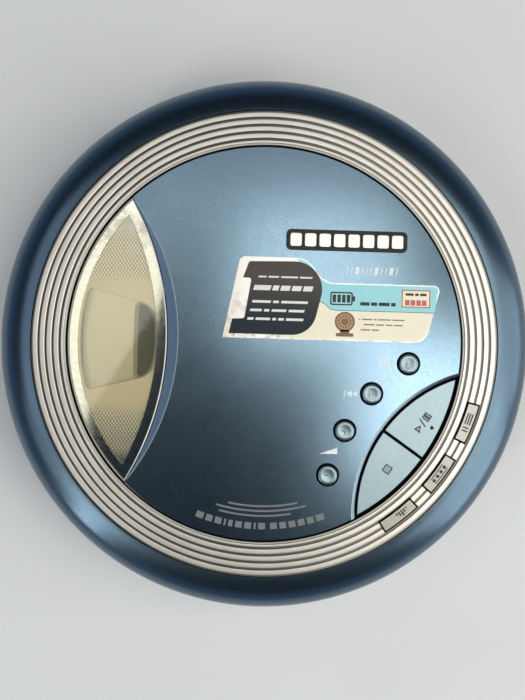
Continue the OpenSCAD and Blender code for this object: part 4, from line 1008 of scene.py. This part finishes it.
lab = prism("label_sheet", [label_outline()], LZ - 0.01, LZ + 0.10, "label_foil", "lid", bevel=0.03, segs=2)
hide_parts("product_label")
T0, T1 = LZ + 0.09, LZ + 0.115
D = 0.28
prism("label_band_blue", [[(17.4, 8.85), (42.15, 8.85), (43.0 - D, 13.9)] + arc((41.8, 14.2), 1.4 - D, 0, 90, 6) + arc((17.3, 21.22), 5.67 + D, 270, 208.1, 12)
                          + arc((7.3, 15.88), 5.67 - D, 28.1, 84, 10) + [(9.0, 17.0), (12.0, 12.5), (13.6, 10.95), (14.8, 10.35), (16.1, 9.2)]], T0, T1, "label_cyan", "lid")
prism("label_band_cream", [[(4.0, 1.3 + D), (37.2, 1.3 + D)] + arc((37.2, 5.0), 3.7 - D, -88, -14, 8) + [(41.95, 8.7), (17.35, 8.7), (16.0, 9.05), (14.75, 10.2), (13.6, 10.8), (11.5, 9.0), (6.0, 3.0)]],
      T0, T1, "label_cream", "lid")
bm = bmesh.new()
edge = [(13.55, 10.9), (14.78, 10.3), (16.05, 9.13), (17.38, 8.8), (42.05, 8.8)]
for (p0, p1) in zip(edge, edge[1:]):
    L = math.hypot(p1[0] - p0[0], p1[1] - p0[1])
    prism_into(bm, move(rect(L + 0.06, 0.14), ((p0[0] + p1[0]) / 2, (p0[1] + p1[1]) / 2), math.degrees(math.atan2(p1[1] - p0[1], p1[0] - p0[0]))), T0, T1 + 0.008)
add_object("label_divider", bm, "label_dark", "lid")
BLOCK = ([(-8.9, 2.35), (6.7, 2.35)] + arc((6.7, 8.5), 6.15, -85, -12, 8) + arc((7.1, 13.7), 6.95, -10, 92, 12)
         + arc((-3.9, 19.9), 0.5, 95, 170, 4) + [(-5.7, 16.3), (-3.95, 16.25)] + arc((-4.15, 15.7), 0.5, 60, -10, 4) + [(-4.95, 7.2)] + arc((-5.6, 6.75), 0.6, 0, -80, 4) + [(-8.1, 6.0)])
prism("label_block", [BLOCK], T0, T1 + 0.01, "label_block", "lid")
U0, U1 = T1 + 0.004, T1 + 0.022
text = dashes(-1.9, 16.65, (2.0, 2.6, 4.2, 3.1), 0.42, 0.5, 0.2)
text += dashes(-3.1, 13.9, (4.2, 1.5, 2.3, 2.3, 2.3), 1.25, 0.5, 0.3)
text += dashes(-3.3, 10.45, (4.6, 1.4, 6.6), 0.62, 0.6, 0.25)
text += dashes(-3.8, 8.3, (2.9, 1.3, 3.6, 3.9), 0.62, 0.6, 0.25)
text += dashes(-4.4, 6.15, (1.5, 3.6, 0.9, 1.4, 4.3), 0.62, 0.55, 0.25)
prism("label_lines_light", text, U0, U1, "label_white", "lid")
# a cell gauge and a short line stand where the playing time was printed
bm = bmesh.new()
at = (18.9, 11.75)
frame_shape(bm, move(rect(5.6, 3.3, 0.5), at), move(rect(4.9, 2.6, 0.3), at), U0 - 0.01, U1)
prism_into(bm, move(rect(0.55, 1.3), (at[0] + 3.1, at[1])), U0 - 0.01, U1)
for i in range(4):
    prism_into(bm, move(rect(0.85, 1.95, 0.1), (at[0] - 1.77 + 1.18 * i, at[1])), U0 - 0.01, U1)
for q in dashes(23.6, 10.6, (2.3, 1.5, 2.7, 1.1), 0.85, 0.4):
    prism_into(bm, q, U0 - 0.01, U1)
add_object("label_gauge", bm, "label_dark", "lid")
bm = bmesh.new()
at = (37.4, 12.2)
frame_shape(bm, move(rect(7.1, 4.4), at), move(rect(6.55, 3.85), at), U0 - 0.01, U1)
for q in dashes(34.7, 11.2, (1.15, 1.15, 1.15, 1.15), 1.35, 0.25):
    prism_into(bm, q, U0 - 0.01, U1)
add_object("label_red_frame", bm, "label_red", "lid")
prism("label_red_ground", [move(rect(6.6, 3.9), at)], T0, T1 + 0.008, "label_cream", "lid")
prism("label_red_line", dashes(34.8, 13.25, (2.0, 0.9, 1.6), 0.6, 0.35), U0 - 0.01, U1, "label_dark", "lid")
prism("label_seal", [arc((19.9, 6.0), 2.5, 0, 352.5, 47), move(rect(4.4, 0.85, 0.35), (19.95, 2.75)), move(rect(2.4, 0.9, 0.3), (19.93, 3.6))], U0 - 0.01, U1, "label_brown", "lid")
bm = bmesh.new()
for r_ in (1.95, 1.15):
    frame_shape(bm, arc((19.9, 6.0), r_, 0, 352.5, 47), arc((19.9, 6.0), r_ - 0.22, 0, 352.5, 47), U1 - 0.004, U1 + 0.012)
for i in range(12):
    prism_into(bm, move(rect(0.5, 0.2), polar_at((19.9, 6.0), 1.45, 30 * i), 30 * i), U1 - 0.004, U1 + 0.012)
add_object("label_seal_ring", bm, "label_gold", "lid")
fine = dashes(23.4, 6.75, (0.3, 2.6, 0.7, 3.1, 3.0), 0.32, 0.4) + dashes(24.6, 5.45, (2.7, 2.0, 1.6, 2.2), 0.32, 0.4) + dashes(23.9, 4.15, (2.3, 1.9), 0.32, 0.4)
prism("label_fine_lines", fine, U0 - 0.01, U1, "label_ink", "lid")

# ---------------------------------------------------------------- marks on the keys
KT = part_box("key_next")[1].z / MM


def key_mark(name, key, shapes, z, mat="print_dark", h=0.05):
    return prism(name, shapes, z - 0.06, z + h, mat, key + "_body", bevel=0.02, segs=2)


for key, shapes in (
    ("key_next", [move(rect(0.3, 1.3, 0.12), (0.6, 0)), move([(-0.6, -0.55), (0.3, 0), (-0.6, 0.55)], (0, 0))]),
    ("key_prev", [move(rect(0.3, 1.3, 0.12), (-0.6, 0)), move([(0.6, -0.55), (0.6, 0.55), (-0.3, 0)], (0, 0))]),
    ("key_vol_up", [[(-0.85, -0.15), (-0.15, -0.15), (-0.15, -0.85), (0.15, -0.85), (0.15, -0.15), (0.85, -0.15), (0.85, 0.15), (0.15, 0.15), (0.15, 0.85), (-0.15, 0.85), (-0.15, 0.15), (-0.85, 0.15)]]),
    ("key_vol_down", [rect(1.7, 0.32, 0.12)]),
):
    p = key_pos(key)
    key_mark("mark_on_" + key, key, [move(s_, p, 0) for s_ in shapes], KT - 0.07, "paint_dot", h=0.07)

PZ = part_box("key_play")[1].z / MM
TD = KEY_AXIS + 90


def txt(pts, at):
    return move(pts, at, TD)


def along(at, u, v):
    c_, s_ = math.cos(math.radians(TD)), math.sin(math.radians(TD))
    return (at[0] + u * c_ - v * s_, at[1] + u * s_ + v * c_)


PC = (40.2, -18.2)
Y0, Y1 = PZ - 0.02, PZ + 0.02
bm = bmesh.new()
frame_shape(bm, txt([(-2.9, -0.95), (-1.15, 0.0), (-2.9, 0.95)], PC), txt([(-2.62, -0.5), (-1.70, 0.0), (-2.62, 0.5)], PC), Y0, Y1)
prism_into(bm, txt([(-0.98, -1.15), (-0.66, -1.15), (0.17, 1.25), (-0.15, 1.25)], PC), Y0, Y1)
for u in (0.95, 1.85):
    o_ = along(PC, u, 0)
    frame_shape(bm, txt(rect(0.86, 1.96), o_), txt(rect(0.34, 1.44), o_), Y0, Y1)
add_object("mark_on_key_play", bm, "print_dark", "key_play_body")
prism("mark_fill_on_key_play", [txt([(-2.68, -0.6), (-1.58, 0.0), (-2.68, 0.6)], PC)] + [txt(rect(0.42, 1.5), along(PC, u, 0)) for u in (0.95, 1.85)], Y0, PZ + 0.008, "print_grey", "key_play_body")
bm = bmesh.new()
bmesh.ops.create_uvsphere(bm, u_segments=32, v_segments=16, radius=0.46 * MM)
bmesh.ops.scale(bm, vec=(1, 1, 0.7), verts=bm.verts)
bmesh.ops.translate(bm, vec=(42.3 * MM, -19.68 * MM, (PZ - 0.02) * MM), verts=bm.verts)
add_object("play_touch_dot", bm, "print_dark", "key_play_body")
SC = (31.5, -30.3)
bm = bmesh.new()
frame_shape(bm, move(rect(2.05, 2.05), SC, KEY_AXIS), move(rect(1.55, 1.55), SC, KEY_AXIS), Y0, Y1)
add_object("mark_on_key_stop", bm, "print_dark", "key_stop_body")
prism("mark_fill_on_key_stop", [move(rect(1.62, 1.62), SC, KEY_AXIS)], Y0, PZ + 0.008, "print_grey", "key_stop_body")

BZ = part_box("key_bar_b")[1].z / MM


def bar_at(k, u, v):
    """u along the key (counter-clockwise), v outwards, from the middle of bar key k."""
    a = BAR_AXIS + k * BAR_STEP
    e = (math.cos(math.radians(a)), math.sin(math.radians(a)))
    return (54.2 * e[0] + v * e[0] - u * e[1], 54.2 * e[1] + v * e[1] + u * e[0])


def bar_rect(k, u, v, w, h):
    return move(rect(w, h, min(w, h) * 0.2), bar_at(k, u, v), BAR_AXIS + k * BAR_STEP + 90)


prism("mark_on_key_bar_a", [bar_rect(1, -2.1, 0, 0.36, 1.5), bar_rect(1, -1.3, 0, 0.36, 1.5)] + [bar_rect(1, 1.0, v, 2.9, 0.34) for v in (-0.58, 0.0, 0.58)], BZ - 0.02, BZ + 0.02, "print_dark", "key_bar_a_body")
prism("mark_on_key_bar_b", [bar_rect(0, -2.1 + 1.4 * i, 0, 0.8, 0.8) for i in range(4)] + [bar_rect(0, 0, -0.78, 5.0, 0.24), bar_rect(0, 0, 0.78, 5.0, 0.24)], BZ - 0.02, BZ + 0.02, "print_dark", "key_bar_b_body")
prism("mark_on_key_bar_c", [bar_rect(-1, -0.2 + 0.72 * i, -0.75 + h / 2, 0.44, h) for i, h in enumerate((0.6, 1.15, 1.5, 0.95, 0.45))], BZ - 0.02, BZ + 0.02, "print_dark", "key_bar_c_body")

# ---------------------------------------------------------------- floor, light, camera
bm = bmesh.new()
bmesh.ops.create_circle(bm, cap_ends=True, segments=96, radius=1.6)
me = bpy.data.meshes.new("floor")
bm.to_mesh(me)
bm.free()
floor = bpy.data.objects.new("floor", me)
SCENE.collection.objects.link(floor)
floor.location = (0, 0, -0.00005)
fm = Mat("floor_pale")
fg = fm.noise(0.02, 4.0, 0.5)
ff = fm.noise(1.5, 4.0, 0.6)
fm.set(base=fm.mix(fm.range(fg, 0.3, 0.7, 0.0, 1.0), (0.78, 0.78, 0.77), (0.81, 0.81, 0.80)), rough=0.8, normal=fm.bump(ff, 0.08, 0.05), spec=0.15)
# the floor melts into the pale surroundings far from the player, and is clear when the camera is below it
fx = fm.xyz()
fr_ = fm.math("SQRT", fm.math("ADD", fm.math("MULTIPLY", fx[0], fx[0]), fm.math("MULTIPLY", fx[1], fx[1])))
clear = fm.range(fr_, 330.0, 1250.0, 0.0, 1.0, True)
below = fm.node("ShaderNodeValue")
below.outputs[0].default_value = 1.0
BELOW = below.outputs[0]
ft = fm.node("ShaderNodeBsdfTransparent")
fmx = fm.node("ShaderNodeMixShader")
fm.put(fmx.inputs[0], fm.math("MAXIMUM", clear, fm.math("LESS_THAN", BELOW, 0.0)))
fm.t.links.new(fm.bsdf.outputs[0], fmx.inputs[1])
fm.t.links.new(ft.outputs[0], fmx.inputs[2])
fm.t.links.new(fmx.outputs[0], fm.out.inputs["Surface"])
me.materials.append(fm.m)


def area(name, loc, size, size_y, radiance, colour=(1, 1, 1), along=None, aim=(0, 0, 0.02)):
    """Soft box. radiance is the brightness of its face, so a bigger box lights more. along is the direction of its width."""
    d = bpy.data.lights.new(name, "AREA")
    d.shape = "RECTANGLE"
    d.size = size
    d.size_y = size_y
    d.energy = radiance * d.size * d.size_y * math.pi
    d.color = colour
    o = bpy.data.objects.new(name, d)
    SCENE.collection.objects.link(o)
    o.location = loc
    o.rotation_mode = "QUATERNION"
    back = (Vector(loc) - Vector(aim)).normalized()
    ax = Vector(along) if along else Vector((1.0, 0.0, 0.0))
    ax = (ax - back * ax.dot(back)).normalized()
    o.rotation_quaternion = Matrix((ax, back.cross(ax), back)).transposed().to_quaternion()
    o.visible_camera = False
    return o


def sky(tx, ty, dist):
    """A point seen in the flat lid face from above at tilt (tx, ty): x and y per unit height."""
    v = Vector((tx, ty, 1.0)).normalized() * dist
    return (v.x, v.y, v.z + 0.0276)


def over(az, el, dist=1.0):
    """A point at this azimuth and height angle round the player."""
    a, e = math.radians(az), math.radians(el)
    return (dist * math.cos(e) * math.cos(a), dist * math.cos(e) * math.sin(a), dist * math.sin(e) + 0.0276)


WARM = (1.0, 0.975, 0.90)
LIGHTS = [
    # name, place, width, height, radiance, colour, direction of the width
    ("window_a", sky(0.066, 0.084, 1.0), 0.20, 0.17, 6.0, WARM, None),
    ("window_b", sky(0.215, -0.07, 1.0), 0.19, 0.17, 9.6, WARM, None),
    ("window_c", sky(0.50, 0.00, 1.0), 0.28, 0.70, 2.8, WARM, None),
    ("window_top", sky(0.00, 0.25, 1.0), 0.34, 0.17, 1.3, (0.98, 0.98, 1.0), None),
    ("border_card", (-0.1962, 0.0545, 0.997), 0.35, 0.13, 1.8, (1.0, 0.98, 0.90), (0.519, 0.855, 0.0)),
    ("right_box", over(2, 27), 0.50, 1.05, 1.75, (1.0, 1.0, 0.985), (0.0, 1.0, 0.0)),
    ("right_low_box", over(-30, 28), 0.50, 1.00, 2.6, (1.0, 1.0, 0.98), (0.5, 0.866, 0.0)),
    ("left_box", over(170, 55), 0.64, 0.40, 1.0, (0.84, 0.87, 1.0), (0.0, 1.0, 0.0)),
    ("low_left_box", over(207, 46), 0.34, 0.62, 0.8, (0.9, 0.95, 1.0), (0.45, -0.89, 0.0)),
    ("low_left_slot", over(226, 37), 0.11, 0.95, 6.0, (0.98, 1.0, 0.99), (0.72, -0.69, 0.0)),
]
for args in LIGHTS:
    area(*args)

# plain studio round the player: dim overhead, brighter towards the horizon, and pale for the camera
w = bpy.data.worlds.new("studio")
SCENE.world = w
w.use_nodes = True
wt = w.node_tree
bg = wt.nodes["Background"]
tc = wt.nodes.new("ShaderNodeTexCoord")
sx = wt.nodes.new("ShaderNodeSeparateXYZ")
wt.links.new(tc.outputs["Generated"], sx.inputs[0])
mr = wt.nodes.new("ShaderNodeMapRange")
mr.interpolation_type = "SMOOTHSTEP"
for key_, val_ in (("From Min", 0.12), ("From Max", 0.6), ("To Min", 0.38), ("To Max", 0.045)):
    mr.inputs[key_].default_value = val_
wt.links.new(sx.outputs[2], mr.inputs["Value"])
wt.links.new(mr.outputs["Result"], bg.inputs["Strength"])
bg.inputs["Color"].default_value = (0.44, 0.66, 1.0, 1.0)
bc_ = wt.nodes.new("ShaderNodeBackground")
bc_.inputs["Color"].default_value = (0.44, 0.44, 0.435, 1.0)
lp_ = wt.nodes.new("ShaderNodeLightPath")
mx_ = wt.nodes.new("ShaderNodeMixShader")
wt.links.new(lp_.outputs["Is Camera Ray"], mx_.inputs[0])
wt.links.new(bg.outputs[0], mx_.inputs[1])
wt.links.new(bc_.outputs[0], mx_.inputs[2])
wt.links.new(mx_.outputs[0], wt.nodes["World Output"].inputs["Surface"])

# camera straight above; the image centre sits a little below and left of the spindle, and the player is turned 1.7 degrees clockwise
SPAN = 700 * 0.2485 * MM
DIST = 0.260
cd = bpy.data.cameras.new("camera")
cd.sensor_width = 36.0
cd.lens = 36.0 * DIST / SPAN
cd.clip_start = 0.01
cd.clip_end = 10
cam = bpy.data.objects.new("camera", cd)
SCENE.collection.objects.link(cam)
cam.location = (-0.33 * MM, -1.6 * MM, PANEL_Z * MM + DIST)
cam.rotation_euler = (0, 0, math.radians(1.7))
SCENE.camera = cam
drv = BELOW.driver_add("default_value").driver
drv.type = "SUM"
var = drv.variables.new()
var.name = "z"
var.type = "TRANSFORMS"
var.targets[0].id = cam
var.targets[0].transform_type = "LOC_Z"
var.targets[0].transform_space = "WORLD_SPACE"

try:
    SCENE.view_settings.view_transform = "Standard"
    SCENE.view_settings.look = "None"
except TypeError:
    pass

bpy.context.view_layer.update()
